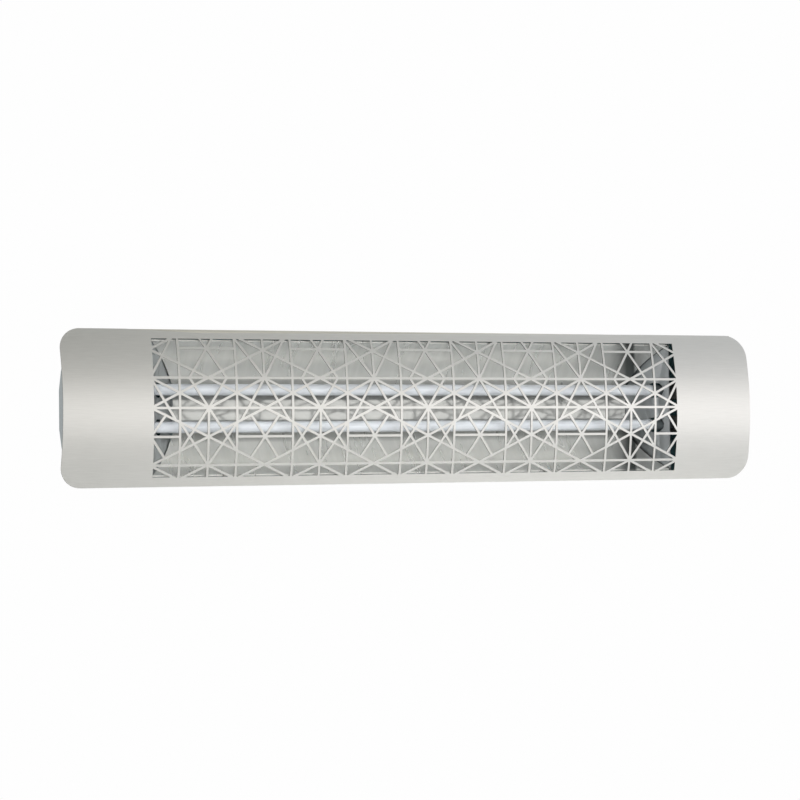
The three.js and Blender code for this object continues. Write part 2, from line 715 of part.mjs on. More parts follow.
function makeGland() {
  const black = { color: 0x2c2e30, roughness: 0.6, metalness: 0 };
  const flangeFront = housingBack + touchGap;
  const flangeBack = flangeFront + 5;
  const threadBack = flangeBack + 9;
  const bore = 4.5;
  const thread = 7.9;
  const flange = 12;
  const inside = 79;
  const body = [[bore, inside], [thread, inside], [thread, flangeFront], [flange, flangeFront],
    [flange, flangeBack], [thread, flangeBack], [thread, threadBack], [bore, threadBack], [bore, inside]];
  addPiece(heater, 'gland_body', turned(body, roundSides, 'y').translate(glandX, 0, 0), black);
  const nutFront = flangeBack + touchGap;
  const nutBack = nutFront + 16;
  const nutBore = thread + 0.4;
  const nut = [[nutBore, nutFront], [11.5, nutFront], [11.5, nutBack - 5], [9.5, nutBack],
    [bore + 0.4, nutBack], [bore + 0.4, threadBack + 0.5], [nutBore, threadBack + 0.5], [nutBore, nutFront]];
  addPiece(heater, 'gland_dome_nut', turned(nut, roundSides, 'y').translate(glandX, 0, 0), black);
  const lockNutBack = housingBack - housingSheet - touchGap;
  const lockNutLength = 4;
  const lockNut = surface(hexNut(flange, nutBore, lockNutLength));
  addPiece(heater, 'gland_lock_nut', lockNut.translate(glandX, lockNutBack - lockNutLength / 2, 0), black);
}

// ---- brackets ----

// One ear: a plate across X, from a base depth to a round end about the pivot
function ear(x0, x1, base, halfHeight, pivot) {
  const points = [[base, -halfHeight], [base, halfHeight]];
  const facing = Math.sign(pivot - base);
  for (let step = 0; step <= 6; step += 1) {
    const angle = Math.PI / 2 - Math.PI * step / 6;
    points.push([pivot + facing * earRadius * Math.cos(angle), earRadius * Math.sin(angle)]);
  }
  if (facing > 0) points.reverse();
  const plate = solid(alongX(points.reverse(), x0, x1));
  return plate.subtract(solid(cylinder(boltRadius + holeClearance, 30, 12, 'x', [(x0 + x1) / 2, pivot, 0])));
}

function makeSwivelBracket(name, x) {
  const front = housingBack + touchGap;
  const back = front + swivelSheet;
  const pivot = apexToWall - pivotToWall;
  const half = swivelWidth / 2;
  let bracket = solid(block(x - half, x + half, front, back, -swivelHeight / 2, swivelHeight / 2));
  bracket = bracket.add(ear(x - half, x - half + swivelSheet, front, swivelHeight / 2, pivot));
  bracket = bracket.add(ear(x + half - swivelSheet, x + half, front, swivelHeight / 2, pivot));
  for (const z of [-swivelScrewZ, swivelScrewZ]) {
    bracket = bracket.subtract(solid(cylinder(backHoleRadius, 10, smallSides, 'y', [x, back, z])));
  }
  addPiece(heater, name, surface(bracket), { color: 0xa4a8aa, roughness: 0.45, metalness: 0.9 });
}

function makeSwivelScrew(name, x, z) {
  const headLength = 3;
  const back = housingBack + touchGap + swivelSheet;
  const geometry = screw(0, 0, 0, 4.6, headLength, 2.5, 10);
  geometry.rotateX(Math.PI).translate(x, back + headLength + touchGap, z);
  addPiece(heater, name, geometry, { color: 0xb9bcbf, roughness: 0.3, metalness: 1 });
}

function makeWallBracket(name, x) {
  const half = wallPlateWidth / 2;
  const halfHeight = wallPlateHeight / 2;
  let bracket = solid(block(x - half, x + half, -wallPlateSheet, 0, -halfHeight, halfHeight));
  for (const inner of [x - half, x + half - wallPlateSheet]) {
    bracket = bracket.add(ear(inner, inner + wallPlateSheet, 0, 18, -pivotToWall));
  }
  for (const z of [-wallScrewSpacing / 2, wallScrewSpacing / 2]) {
    bracket = bracket.subtract(solid(cylinder(wallHoleRadius, 12, 12, 'y', [x, 0, z])));
  }
  addPiece(wallSide, name, surface(bracket), { color: 0xa4a8aa, roughness: 0.45, metalness: 0.9 });
}

function makePivot(place, x) {
  const steel = { color: 0xb9bcbf, roughness: 0.3, metalness: 1 };
  const half = wallPlateWidth / 2;
  const washerSheet = 1.6;
  const headStart = x - half - touchGap;
  const washerEnd = x + half + touchGap + washerSheet;
  const tip = washerEnd + 11;
  const headLength = 5.3;
  const hexRadius = 7.5;
  const head = solid(cylinder(hexRadius, headLength, 6, 'x', [headStart - headLength / 2, -pivotToWall, 0]));
  const shank = solid(cylinder(boltRadius, tip - headStart + 1, roundSides, 'x',
    [(tip + headStart - 1) / 2, -pivotToWall, 0]));
  addPiece(wallSide, `pivot_bolt_${place}`, surface(head.add(shank)), steel);
  const hole = boltRadius + holeClearance;
  const washer = [[hole, -washerSheet], [9, -washerSheet], [9, 0], [hole, 0], [hole, -washerSheet]];
  addPiece(wallSide, `pivot_washer_${place}`,
    turned(washer, roundSides, 'x').translate(washerEnd, -pivotToWall, 0), steel);
  const nutLength = 7;
  const nut = surface(hexNut(hexRadius, hole, nutLength)).rotateZ(-Math.PI / 2);
  nut.translate(washerEnd + touchGap + nutLength / 2, -pivotToWall, 0);
  addPiece(wallSide, `pivot_nut_${place}`, nut, steel);
}

// ---- the whole heater ----

makeFascia();
makeFasciaNuts();
makeHousing();
makeEndCap('end_cap_left', -1);
makeEndCap('end_cap_right', 1);
makeCapScrews();
makeReflector();
for (const [place, end] of [['left', -1], ['right', 1]]) {
  makeReflectorEndPlate(`reflector_end_plate_${place}`, end);
  makeBackScrew(`reflector_screw_${place}`, end * endPlateScrewX, 0);
  makeCarrier(`element_carrier_${place}`, end);
  makeSwivelBracket(`swivel_bracket_${place}`, end * bracketX);
  makeWallBracket(`wall_bracket_${place}`, end * bracketX);
  makePivot(place, end * bracketX);
  for (const [level, side] of [['lower', -1], ['upper', 1]]) {
    makeHolder(`ceramic_holder_${place}_${level}`, end, side);
    makeBackScrew(`carrier_screw_${place}_${level}`, end * carrierScrewX, side * carrierScrewZ);
    makeSwivelScrew(`swivel_screw_${place}_${level}`, end * bracketX, side * swivelScrewZ);
  }
}
makeElement('lower', -1);
makeElement('upper', 1);
makeWiring();
makeGland();

export default part;
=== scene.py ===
import math

import bpy
from mathutils import Matrix, Vector


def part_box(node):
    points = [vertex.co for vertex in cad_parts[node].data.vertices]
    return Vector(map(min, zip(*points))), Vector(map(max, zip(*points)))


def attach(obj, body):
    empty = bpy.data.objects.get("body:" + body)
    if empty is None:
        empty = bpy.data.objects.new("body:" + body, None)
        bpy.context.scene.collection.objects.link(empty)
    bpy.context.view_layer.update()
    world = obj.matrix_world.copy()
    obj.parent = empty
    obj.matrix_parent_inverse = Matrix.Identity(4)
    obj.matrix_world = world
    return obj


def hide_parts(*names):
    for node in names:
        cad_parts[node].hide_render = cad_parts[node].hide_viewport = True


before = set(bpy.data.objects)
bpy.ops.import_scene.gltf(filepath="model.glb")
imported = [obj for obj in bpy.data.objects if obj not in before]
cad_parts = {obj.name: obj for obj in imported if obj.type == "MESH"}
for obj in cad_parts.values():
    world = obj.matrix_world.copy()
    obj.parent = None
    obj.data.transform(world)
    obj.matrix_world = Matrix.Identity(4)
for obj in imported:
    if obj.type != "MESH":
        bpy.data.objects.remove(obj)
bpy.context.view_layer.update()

# The heater hangs with its fascia's crown furthest from the wall; depths are measured from there
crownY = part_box("front_fascia")[0].y
wallBody = "wall_side"
heaterBody = "heater"
axisVectors = {"x": Vector((1, 0, 0)), "y": Vector((0, 1, 0)), "z": Vector((0, 0, 1))}
touchGap = 0.0003  # left between pieces that touch
past = 0.001  # how far a cutter runs past the face it starts from
cutLengths = {"short": 0.008, "middle": 0.010, "long": 0.020}  # of the rods that cut screw holes


def middle(node):
    low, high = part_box(node)
    return (low + high) / 2


def middleDepth(node):
    return middle(node).y - crownY


# selecting and switching modes

def onlySelect(piece):
    bpy.ops.object.select_all(action='DESELECT')
    piece.select_set(True)
    bpy.context.view_layer.objects.active = piece


def startEditing(piece):
    onlySelect(piece)
    bpy.ops.object.mode_set(mode='EDIT')
    bpy.ops.mesh.select_mode(type='VERT')
    bpy.ops.mesh.select_all(action='SELECT')


def stopEditing():
    bpy.ops.object.mode_set(mode='OBJECT')


def applyModifier(piece, kind, **settings):
    onlySelect(piece)
    modifier = piece.modifiers.new(kind.lower(), kind)
    for key, value in settings.items():
        setattr(modifier, key, value)
    bpy.ops.object.modifier_apply(modifier=modifier.name)


def breakEdges(piece, width, segments=2, angle=35):
    applyModifier(piece, 'BEVEL', width=width, segments=segments, limit_method='ANGLE',
                  angle_limit=math.radians(angle), use_clamp_overlap=True)


def smooth(piece, angle=32):
    onlySelect(piece)
    bpy.ops.object.shade_smooth_by_angle(angle=math.radians(angle))


def tidyMesh(piece):
    startEditing(piece)
    bpy.ops.mesh.remove_doubles(threshold=2e-6)
    bpy.ops.mesh.normals_make_consistent(inside=False)
    stopEditing()


def removePiece(piece):
    bpy.data.objects.remove(piece, do_unlink=True)


def withCutter(piece, cutter, operation):
    applyModifier(piece, 'BOOLEAN', operation=operation, object=cutter, solver='EXACT')
    removePiece(cutter)


def joinPieces(pieces):
    bpy.ops.object.select_all(action='DESELECT')
    for piece in pieces:
        piece.select_set(True)
    bpy.context.view_layer.objects.active = pieces[0]
    bpy.ops.object.join()
    return pieces[0]


def ownCopy(piece, matrix):
    made = piece.copy()
    made.data = piece.data.copy()
    made.data.transform(matrix)
    bpy.context.scene.collection.objects.link(made)
    return made


# drawing outlines, turning profiles and folding sheets

def startAt(point):
    # one vertex, from a small plane drawn together
    bpy.ops.object.select_all(action='DESELECT')
    bpy.ops.mesh.primitive_plane_add(size=0.01)
    piece = bpy.context.object
    startEditing(piece)
    bpy.ops.mesh.merge(type='CENTER')
    bpy.ops.transform.translate(value=point)
    return piece


def drawLine(points):
    piece = startAt(points[0])
    for start, end in zip(points, points[1:]):
        bpy.ops.mesh.extrude_vertices_move(TRANSFORM_OT_translate={"value": end - start})
    bpy.ops.mesh.select_all(action='SELECT')
    return piece


def prism(outline, axis, start, end):
    # an outline in the plane across the axis, filled and drawn out along it
    places = {
        "x": lambda a, b: (start, a, b),
        "y": lambda a, b: (a, start, b),
        "z": lambda a, b: (a, b, start),
    }
    piece = drawLine([Vector(places[axis](a, b)) for a, b in outline])
    bpy.ops.mesh.edge_face_add()
    bpy.ops.mesh.extrude_region_move(TRANSFORM_OT_translate={"value": axisVectors[axis] * (end - start)})
    bpy.ops.mesh.select_all(action='SELECT')
    bpy.ops.mesh.normals_make_consistent(inside=False)
    stopEditing()
    return piece


def box(low, high):
    bpy.ops.object.select_all(action='DESELECT')
    bpy.ops.mesh.primitive_cube_add(size=1)
    piece = bpy.context.object
    startEditing(piece)
    bpy.ops.transform.resize(value=Vector(high) - Vector(low))
    bpy.ops.transform.translate(value=(Vector(high) + Vector(low)) / 2)
    stopEditing()
    return piece


def turn(profile, axis, centre, steps=48):
    # a profile of (radius, distance along the axis) pairs, spun about the axis
    along = axisVectors[axis]
    out = Vector((0, 0, 1)) if axis != "z" else Vector((1, 0, 0))
    piece = drawLine([Vector(centre) + along * distance + out * radius for radius, distance in profile])
    bpy.ops.mesh.spin(steps=steps, angle=2 * math.pi, center=centre, axis=along)
    stopEditing()
    tidyMesh(piece)
    return piece


def rod(radius, axis, start, end, sides=32):
    # start and end differ only along the axis
    length = (Vector(end) - Vector(start)).dot(axisVectors[axis])
    return turn([(0, 0), (radius, 0), (radius, length), (0, length)], axis, start, sides)


def roundCorners(path, radius, steps=4):
    rounded = [Vector(path[0])]
    for before, corner, after in zip(path, path[1:], path[2:]):
        corner = Vector(corner)
        into = (Vector(before) - corner).normalized()
        out = (Vector(after) - corner).normalized()
        half = into.angle(out) / 2
        reach = radius / math.tan(half)
        centre = corner + (into + out).normalized() * (radius / math.sin(half))
        first = corner + into * reach - centre
        last = corner + out * reach - centre
        turned = first.angle_signed(last)
        for step in range(steps + 1):
            share = turned * step / steps
            rounded.append(centre + Matrix.Rotation(-share, 2) @ first)
    rounded.append(Vector(path[-1]))
    return rounded


def sheetOutline(path, thickness):
    # both faces of a sheet: the path, and its copy one thickness to the right
    inner = []
    for i, point in enumerate(path):
        into = (point - path[i - 1]).normalized() if i else (path[1] - point).normalized()
        out = (path[i + 1] - point).normalized() if i + 1 < len(path) else into
        mitre = (into + out).normalized()
        right = Vector((mitre.y, -mitre.x))
        inner.append(point + right * (thickness / right.dot(Vector((into.y, -into.x)))))
    return [tuple(p) for p in path] + [tuple(p) for p in reversed(inner)]


def atDepth(points):
    return [Vector((crownY + depth, height)) for depth, height in points]


# materials

def linear(colour):
    channels = [int(colour[i:i + 2], 16) / 255 for i in (1, 3, 5)]
    return tuple(c / 12.92 if c <= 0.04045 else ((c + 0.055) / 1.055) ** 2.4 for c in channels) + (1,)


def addNode(tree, kind, settings=None, links=None):
    node = tree.nodes.new(kind)
    for key, value in (settings or {}).items():
        if isinstance(key, int) or key in node.inputs:
            node.inputs[key].default_value = value
        else:
            setattr(node, key, value)
    for socket, source in (links or {}).items():
        tree.links.new(source, node.inputs[socket])
    return node


def newMaterial(name, **settings):
    material = bpy.data.materials.new(name)
    material.use_nodes = True
    tree = material.node_tree
    surface = tree.nodes["Principled BSDF"]
    for key, value in settings.items():
        surface.inputs[key.replace("_", " ")].default_value = value
    return material, tree, surface


def patternCoordinates(tree, sizes):
    # Object coordinates, so that one unit of the pattern is that many metres each way
    place = addNode(tree, "ShaderNodeTexCoord")
    scale = [1 / s for s in sizes]
    mapping = addNode(tree, "ShaderNodeMapping", {"Scale": scale}, {"Vector": place.outputs["Object"]})
    return mapping.outputs["Vector"]


def mixColours(tree, share, first, second):
    mix = addNode(tree, "ShaderNodeMix", {"data_type": 'RGBA'}, {"Factor": share})
    mix.inputs[6].default_value = linear(first)
    mix.inputs[7].default_value = linear(second)
    return mix.outputs[2]


def colourRamp(tree, value, stops):
    ramp = addNode(tree, "ShaderNodeValToRGB", links={"Fac": value})
    elements = ramp.color_ramp.elements
    while len(elements) < len(stops):
        elements.new(0.5)
    for element, (place, colour) in zip(elements, stops):
        element.position = place
        element.color = colour
    return ramp.outputs["Color"]


def spread(tree, value, low, high):
    reach = addNode(tree, "ShaderNodeMapRange", {"To Min": low, "To Max": high}, {"Value": value})
    return reach.outputs["Result"]


def patterned(name, look, **settings):
    # a finish whose colour, roughness and relief all follow one noise, with its own grain size each way
    material, tree, surface = newMaterial(name, **settings)
    where = patternCoordinates(tree, look["grain"])
    noise = addNode(tree, "ShaderNodeTexNoise", {"Scale": 1, "Detail": look.get("detail", 3)},
                    {"Vector": where})
    value = noise.outputs["Fac"]
    tree.links.new(mixColours(tree, value, *look["colours"]), surface.inputs["Base Color"])
    tree.links.new(spread(tree, value, *look["roughness"]), surface.inputs["Roughness"])
    bump = addNode(tree, "ShaderNodeBump", {"Strength": look["relief"], "Distance": look["reliefDepth"]},
                   {"Height": value})
    tree.links.new(bump.outputs["Normal"], surface.inputs["Normal"])
    return material


def paintShadeAlong(material, mark):
    # paints shade on a finish by its place along a direction: the shares run from one distance to another
    tree = material.node_tree
    colour = tree.nodes["Principled BSDF"].inputs["Base Color"]
    place = addNode(tree, "ShaderNodeTexCoord")
    along = addNode(tree, "ShaderNodeVectorMath", {"operation": 'DOT_PRODUCT'}, {0: place.outputs["Object"]})
    along.inputs[1].default_value = mark["along"]
    reach = addNode(tree, "ShaderNodeMapRange", {"From Min": mark["from"], "From Max": mark["to"]},
                    {"Value": along.outputs["Value"]})
    share = colourRamp(tree, reach.outputs["Result"], [(stop, (s, s, s, 1)) for stop, s in mark["shares"]])
    mix = addNode(tree, "ShaderNodeMix", {"data_type": 'RGBA'},
                  {"Factor": share, 6: colour.links[0].from_socket})
    mix.inputs[7].default_value = linear(mark["colour"])
    tree.links.new(mix.outputs[2], colour)


def makeMaterials():
    made = {}
    # stainless steel brushed along its length: fine lines that draw a highlight out up and down;
    # the real lines are 0.1 mm apart, drawn coarser so that they show
    made["brushedStainless"] = patterned("brushed_stainless_steel", {
        "colours": ("#cac9c7", "#d9d8d6"), "grain": (0.02, 0.0009, 0.0009), "detail": 4,
        "roughness": (0.33, 0.41), "relief": 0.05, "reliefDepth": 0.0002}, Metallic=1)
    # the same sheet unbrushed, as the mill leaves it: satin, with a faint grain along the roll
    made["millStainless"] = patterned("mill_finished_stainless_steel", {
        "colours": ("#bdbbb2", "#cbc9c1"), "grain": (0.03, 0.002, 0.002), "detail": 3,
        "roughness": (0.36, 0.46), "relief": 0.05, "reliefDepth": 0.0002}, Metallic=1)
    # aluminised steel sheet, rolled and left as it is: satin, with a faint cloudy grain
    made["aluminisedSteel"] = patterned("aluminised_steel", {
        "colours": ("#a9b3b8", "#bcc5c9"), "grain": (0.012, 0.006, 0.006),
        "roughness": (0.38, 0.52), "relief": 0.08, "reliefDepth": 0.0002}, Metallic=1)
    # sheet steel coloured dark teal: painted shade for the shadowed inside of the closed housing and the
    # plates in it
    made["paintedShadeSteel"] = patterned("painted_shade_steel", {
        "colours": ("#4d767c", "#648c92"), "grain": (0.012, 0.006, 0.006),
        "roughness": (0.45, 0.6), "relief": 0.08, "reliefDepth": 0.0002}, Metallic=0.3)
    # rolled reflector aluminium: satin bright, with the roll's faint lines across its length
    made["brightAluminium"] = patterned("bright_rolled_aluminium", {
        "colours": ("#dcddd9", "#f0f0ed"), "grain": (0.007, 0.08, 0.08), "detail": 1,
        "roughness": (0.24, 0.34), "relief": 0.012, "reliefDepth": 0.0002}, Metallic=0.8)
    # a painted reflection of the dark gap beside the right end plate, and a painted shadow line where the
    # wing meets that plate
    paintShadeAlong(made["brightAluminium"], {"along": (1, -0.53, 0), "from": 0.3634, "to": 0.4134,
             "colour": "#343a39",
             "shares": [(0, 0), (0.3, 0.35), (0.52, 0.85), (0.74, 0.9), (0.82, 0.25), (1, 0.2)]})
    paintShadeAlong(made["brightAluminium"], {"along": (1, 0.782, 0), "from": 0.2703, "to": 0.2763,
             "colour": "#1f2626", "shares": [(0, 0), (0.3, 0), (0.5, 0.85), (1, 0.85)]})
    # and painted shade, a little, along its whole length where it comes close behind the tubes
    paintShadeAlong(made["brightAluminium"], {"along": (0, 1, 0), "from": -0.094, "to": -0.085,
             "colour": "#343a39", "shares": [(0, 0), (0.5, 0.4), (1, 0.5)]})
    # the flat panel behind the tubes: the same sheet, polished, so that the guard shows in it softly
    made["panelAluminium"] = patterned("panel_polished_aluminium", {
        "colours": ("#999b99", "#a8a9a7"), "grain": (0.04, 0.003, 0.003), "detail": 3,
        "roughness": (0.09, 0.13), "relief": 0.004, "reliefDepth": 0.0002}, Metallic=0.6)
    # satin fused quartz: milky, with drawing lines along the tube
    made["satinQuartz"] = patterned("satin_fused_quartz", {
        "colours": ("#b0b4b9", "#c8ccd0"), "grain": (0.06, 0.0014, 0.0014), "detail": 3,
        "roughness": (0.34, 0.46), "relief": 0.04, "reliefDepth": 0.0002},
        Transmission_Weight=0.06, IOR=1.46, Coat_Weight=0.1, Coat_Roughness=0.2)
    # painted shade: darkened past the heated length at the right, where the tubes enter the end plate's holes
    paintShadeAlong(made["satinQuartz"], {"along": (1, 0, 0), "from": 0.3605, "to": 0.3655,
             "colour": "#252d2e", "shares": [(0, 0), (1, 0.92)]})
    # iron-chromium-aluminium resistance wire, oxidised by heat to a dull grey
    made["resistanceWire"] = patterned("resistance_wire", {
        "colours": ("#6f6f6d", "#8b8a86"), "grain": (0.002, 0.002, 0.002),
        "roughness": (0.42, 0.6), "relief": 0.1, "reliefDepth": 0.0001}, Metallic=1)
    # unglazed steatite, pressed and fired: cream, dry and finely speckled
    made["steatite"] = patterned("unglazed_steatite", {
        "colours": ("#ddd6c6", "#f0ebdf"), "grain": (0.0008, 0.0008, 0.0008), "detail": 5,
        "roughness": (0.6, 0.78), "relief": 0.25, "reliefDepth": 0.0002})
    # painted shade at the holders' collars, at both ends
    for end in (-1, 1):
        paintShadeAlong(made["steatite"], {"along": (end, 0, 0), "from": 0.392, "to": 0.415,
                 "colour": "#2a3335", "shares": [(0, 0), (0.1, 0.9), (0.6, 0.85), (1, 0)]})
    # brass: turned, and a little dull from handling
    made["turnedBrass"] = patterned("turned_brass", {
        "colours": ("#b3923f", "#cfb065"), "grain": (0.0015, 0.0015, 0.0006),
        "roughness": (0.26, 0.42), "relief": 0.08, "reliefDepth": 0.0001}, Metallic=1)
    # plain aluminium end plates, a little dulled by the heat of the tubes' ends
    made["dulledAluminium"] = patterned("dulled_aluminium", {
        "colours": ("#c9ced2", "#dde0e2"), "grain": (0.02, 0.03, 0.02), "detail": 3,
        "roughness": (0.26, 0.36), "relief": 0.04, "reliefDepth": 0.0002}, Metallic=1)
    # the edges of a laser's cuts in stainless steel: oxidised dark and finely ribbed across the sheet, and
    # darker still as painted shade on the strips' shadowed walls
    made["laserCutEdge"] = patterned("laser_cut_edge_and_shade", {
        "colours": ("#55554f", "#77766f"), "grain": (0.0004, 0.002, 0.0004), "detail": 2,
        "roughness": (0.5, 0.65), "relief": 0.1, "reliefDepth": 0.0001}, Metallic=1)
    # black moulded polyamide: a fine spark-eroded grain and a soft sheen
    made["mouldedPolyamide"] = patterned("moulded_polyamide", {
        "colours": ("#212325", "#303336"), "grain": (0.0006, 0.0006, 0.0006), "detail": 4,
        "roughness": (0.42, 0.58), "relief": 0.3, "reliefDepth": 0.0001})
    # hot-dip galvanised steel: blue-grey, with crystals about a centimetre across
    made["galvanisedSteel"] = galvanised()
    # bright zinc plate on small steel parts
    made["zincPlate"] = patterned("bright_zinc_plate", {
        "colours": ("#a9adb0", "#c4c7c9"), "grain": (0.003, 0.003, 0.003),
        "roughness": (0.22, 0.36), "relief": 0.06, "reliefDepth": 0.0001}, Metallic=1)
    made["glassSleeve"] = braidedSleeve("braided_glass_sleeve", "#cfc9b8", "#ece8dc")
    made["earthSleeve"] = braidedSleeve("braided_earth_sleeve", "#4d8a3b", "#d6c53a")
    print("materials:", len(made))
    return made


def galvanised():
    look = {"crystal": 0.011, "colours": ("#8b9194", "#b1b6b8"), "roughness": (0.34, 0.5)}
    material, tree, surface = newMaterial("galvanised_steel", Metallic=1)
    where = patternCoordinates(tree, (look["crystal"],) * 3)
    crystals = addNode(tree, "ShaderNodeTexVoronoi", {"Scale": 1}, {"Vector": where})
    parts = addNode(tree, "ShaderNodeSeparateColor", links={"Color": crystals.outputs["Color"]})
    value = parts.outputs["Red"]
    tree.links.new(mixColours(tree, value, *look["colours"]), surface.inputs["Base Color"])
    tree.links.new(spread(tree, value, *look["roughness"]), surface.inputs["Roughness"])
    return material


def braidedSleeve(name, dark, light):
    # braided glass-fibre sleeve: two crossing sets of strands, each 0.5 mm wide
    material, tree, surface = newMaterial(name, Roughness=0.7, Sheen_Weight=0.3)
    strand = 0.0005
    where = patternCoordinates(tree, (strand,) * 3)
    waves = []
    for turned in (-0.8, 0.8):
        tilt = addNode(tree, "ShaderNodeMapping", {"Rotation": (0, turned, turned)}, {"Vector": where})
        wave = addNode(tree, "ShaderNodeTexWave", {"Scale": 0.3, "Distortion": 0.4},
                       {"Vector": tilt.outputs["Vector"]})
        waves.append(wave.outputs["Fac"])
    crossing = addNode(tree, "ShaderNodeMath", {"operation": 'MAXIMUM'}, {0: waves[0], 1: waves[1]})
    value = crossing.outputs["Value"]
    tree.links.new(mixColours(tree, value, dark, light), surface.inputs["Base Color"])
    bump = addNode(tree, "ShaderNodeBump", {"Strength": 0.5, "Distance": 0.0003}, {"Height": value})
    tree.links.new(bump.outputs["Normal"], surface.inputs["Normal"])
    return material


materials = makeMaterials()


def finishPiece(piece, name, nodes, body, material):
    piece.name = name
    piece.data.name = name
    piece.data.materials.clear()
    piece.data.materials.append(materials[material])
    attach(piece, body)
    if nodes:
        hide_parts(*nodes)
    return piece


def copyOfNode(node):
    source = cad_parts[node]
    piece = bpy.data.objects.new(node + "_copy", source.data.copy())
    bpy.context.scene.collection.objects.link(piece)
    startEditing(piece)
    bpy.ops.mesh.customdata_custom_splitnormals_clear()
    bpy.ops.mesh.remove_doubles(threshold=1e-5)
    stopEditing()
    return piece


# the fascia

fascia = {
    "bendRadius": 0.336,
    "sheet": 0.0015,
    "bendLines": 40,
    "edgeBreak": 0.00018,
    "flatWithin": 0.4,  # degrees between faces that are merged
    "faceWithin": 0.0004,  # how far inside the sheet a point may lie and still be moved
}


def makeFascia():
    piece = copyOfNode("front_fascia")
    low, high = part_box("front_fascia")
    axisY = low.y + fascia["bendRadius"]
    startEditing(piece)
    bpy.ops.mesh.dissolve_limited(angle_limit=math.radians(fascia["flatWithin"]))
    stopEditing()
    startEditing(piece)
    for line in range(1, fascia["bendLines"]):
        height = low.z + (high.z - low.z) * line / fascia["bendLines"]
        bpy.ops.mesh.select_all(action='SELECT')
        bpy.ops.mesh.bisect(plane_co=(0, 0, height), plane_no=(0, 0, 1))
    stopEditing()
    outer = fascia["bendRadius"]
    inner = outer - fascia["sheet"]
    # every point of the sheet's two faces is moved in depth onto the true bend
    for vertex in piece.data.vertices:
        reach = math.hypot(vertex.co.y - axisY, vertex.co.z)
        if reach < inner - fascia["faceWithin"]:
            continue
        radius = outer if reach > (outer + inner) / 2 else inner
        vertex.co.y = axisY - math.sqrt(radius ** 2 - vertex.co.z ** 2)
    breakEdges(piece, fascia["edgeBreak"], segments=1, angle=50)
    smooth(piece, 30)
    finishPiece(piece, "fascia_sheet", ["front_fascia"], heaterBody, "brushedStainless")
    # the cut walls get the dark cut-edge finish: real oxide, and painted shade on the walls
    piece.data.materials.append(materials["laserCutEdge"])
    for face in piece.data.polygons:
        out = Vector((0, face.center.y - axisY, face.center.z)).normalized()
        if abs(face.normal.dot(out)) < 0.5:
            face.material_index = 1
    print("fascia:", len(piece.data.polygons), "faces")


# the housing: one sheet folded into a trough, and a plate at each end

housing = {
    "front": 0.0186, "top": 0.104, "bottom": -0.101, "lip": 0.0105, "lowerLip": 0.007,
    "slopeFront": (0.022, 0.104), "slopeBack": (0.074, 0.050),
    "back": 0.087, "backHalfHeight": 0.026,
    "sheet": 0.0012, "foldRadius": 0.0022,
    "notchStart": 0.4845, "notchBottom": 0.098,
    "glandHole": 0.0084, "earthHole": 0.0025, "screwHole": 0.0029, "capScrewHole": 0.0024,
    "edgeBreak": 0.0001,
}
endCap = {
    "halfHeight": 0.097, "sheet": 0.0015, "cornerRadius": 0.0022,
    "flangeLength": 0.015, "flangeFrom": 0.15, "flangeTo": 0.85,
    "tabReach": 0.012, "tabHalfHeight": 0.014, "studHole": 0.0031, "edgeBreak": 0.00025,
}


# the upper wall's slope, as (depth, height)
slopeFront = Vector(housing["slopeFront"])
slopeBack = Vector(housing["slopeBack"])
slopeAlong = (slopeBack - slopeFront).normalized()
slopeOut = Vector((-slopeAlong.y, slopeAlong.x))  # points out of the housing


def slopeDepth(height):
    return slopeFront.x + (slopeFront.y - abs(height)) * slopeAlong.x / -slopeAlong.y


def housingPath():
    h = housing
    return atDepth([
        (h["front"], h["top"] - h["lip"]), (h["front"], h["top"]), h["slopeFront"], h["slopeBack"],
        (h["back"], h["backHalfHeight"]), (h["back"], -h["backHalfHeight"]),
        (h["slopeBack"][0], -h["slopeBack"][1]), (slopeDepth(h["bottom"]), h["bottom"]),
        (h["front"], h["bottom"]), (h["front"], h["bottom"] + h["lowerLip"]),
    ])


def screwNodes(start):
    return [f"{start}_{end}_{level}" for end in ("left", "right") for level in ("lower", "upper")]


def capScrewPlaces():
    # where each end cap's screws sit on the sloping walls, and how they point
    depth, height = (slopeFront + slopeBack) / 2
    places = {}
    for node in screwNodes("end_cap_screw"):
        side = 1 if node.endswith("upper") else -1
        normal = Vector((0, slopeOut.x, slopeOut.y * side))
        place = Vector((middle(node).x, crownY + depth, height * side))
        places[node] = Matrix.Translation(place) @ normal.to_track_quat('Z', 'Y').to_matrix().to_4x4()
    return places


def holeCutters(radius, length, matrices, sides=24):
    cutters = []
    for matrix in matrices:
        cutter = rod(radius, "z", (0, 0, -length / 2), (0, 0, length / 2), sides)
        cutter.data.transform(matrix)
        cutters.append(cutter)
    return joinPieces(cutters)


def facingBack(x, y, z):
    # a place on the back, with its +Z towards the wall
    return Matrix.Translation((x, y, z)) @ Matrix.Rotation(math.radians(-90), 4, 'X')


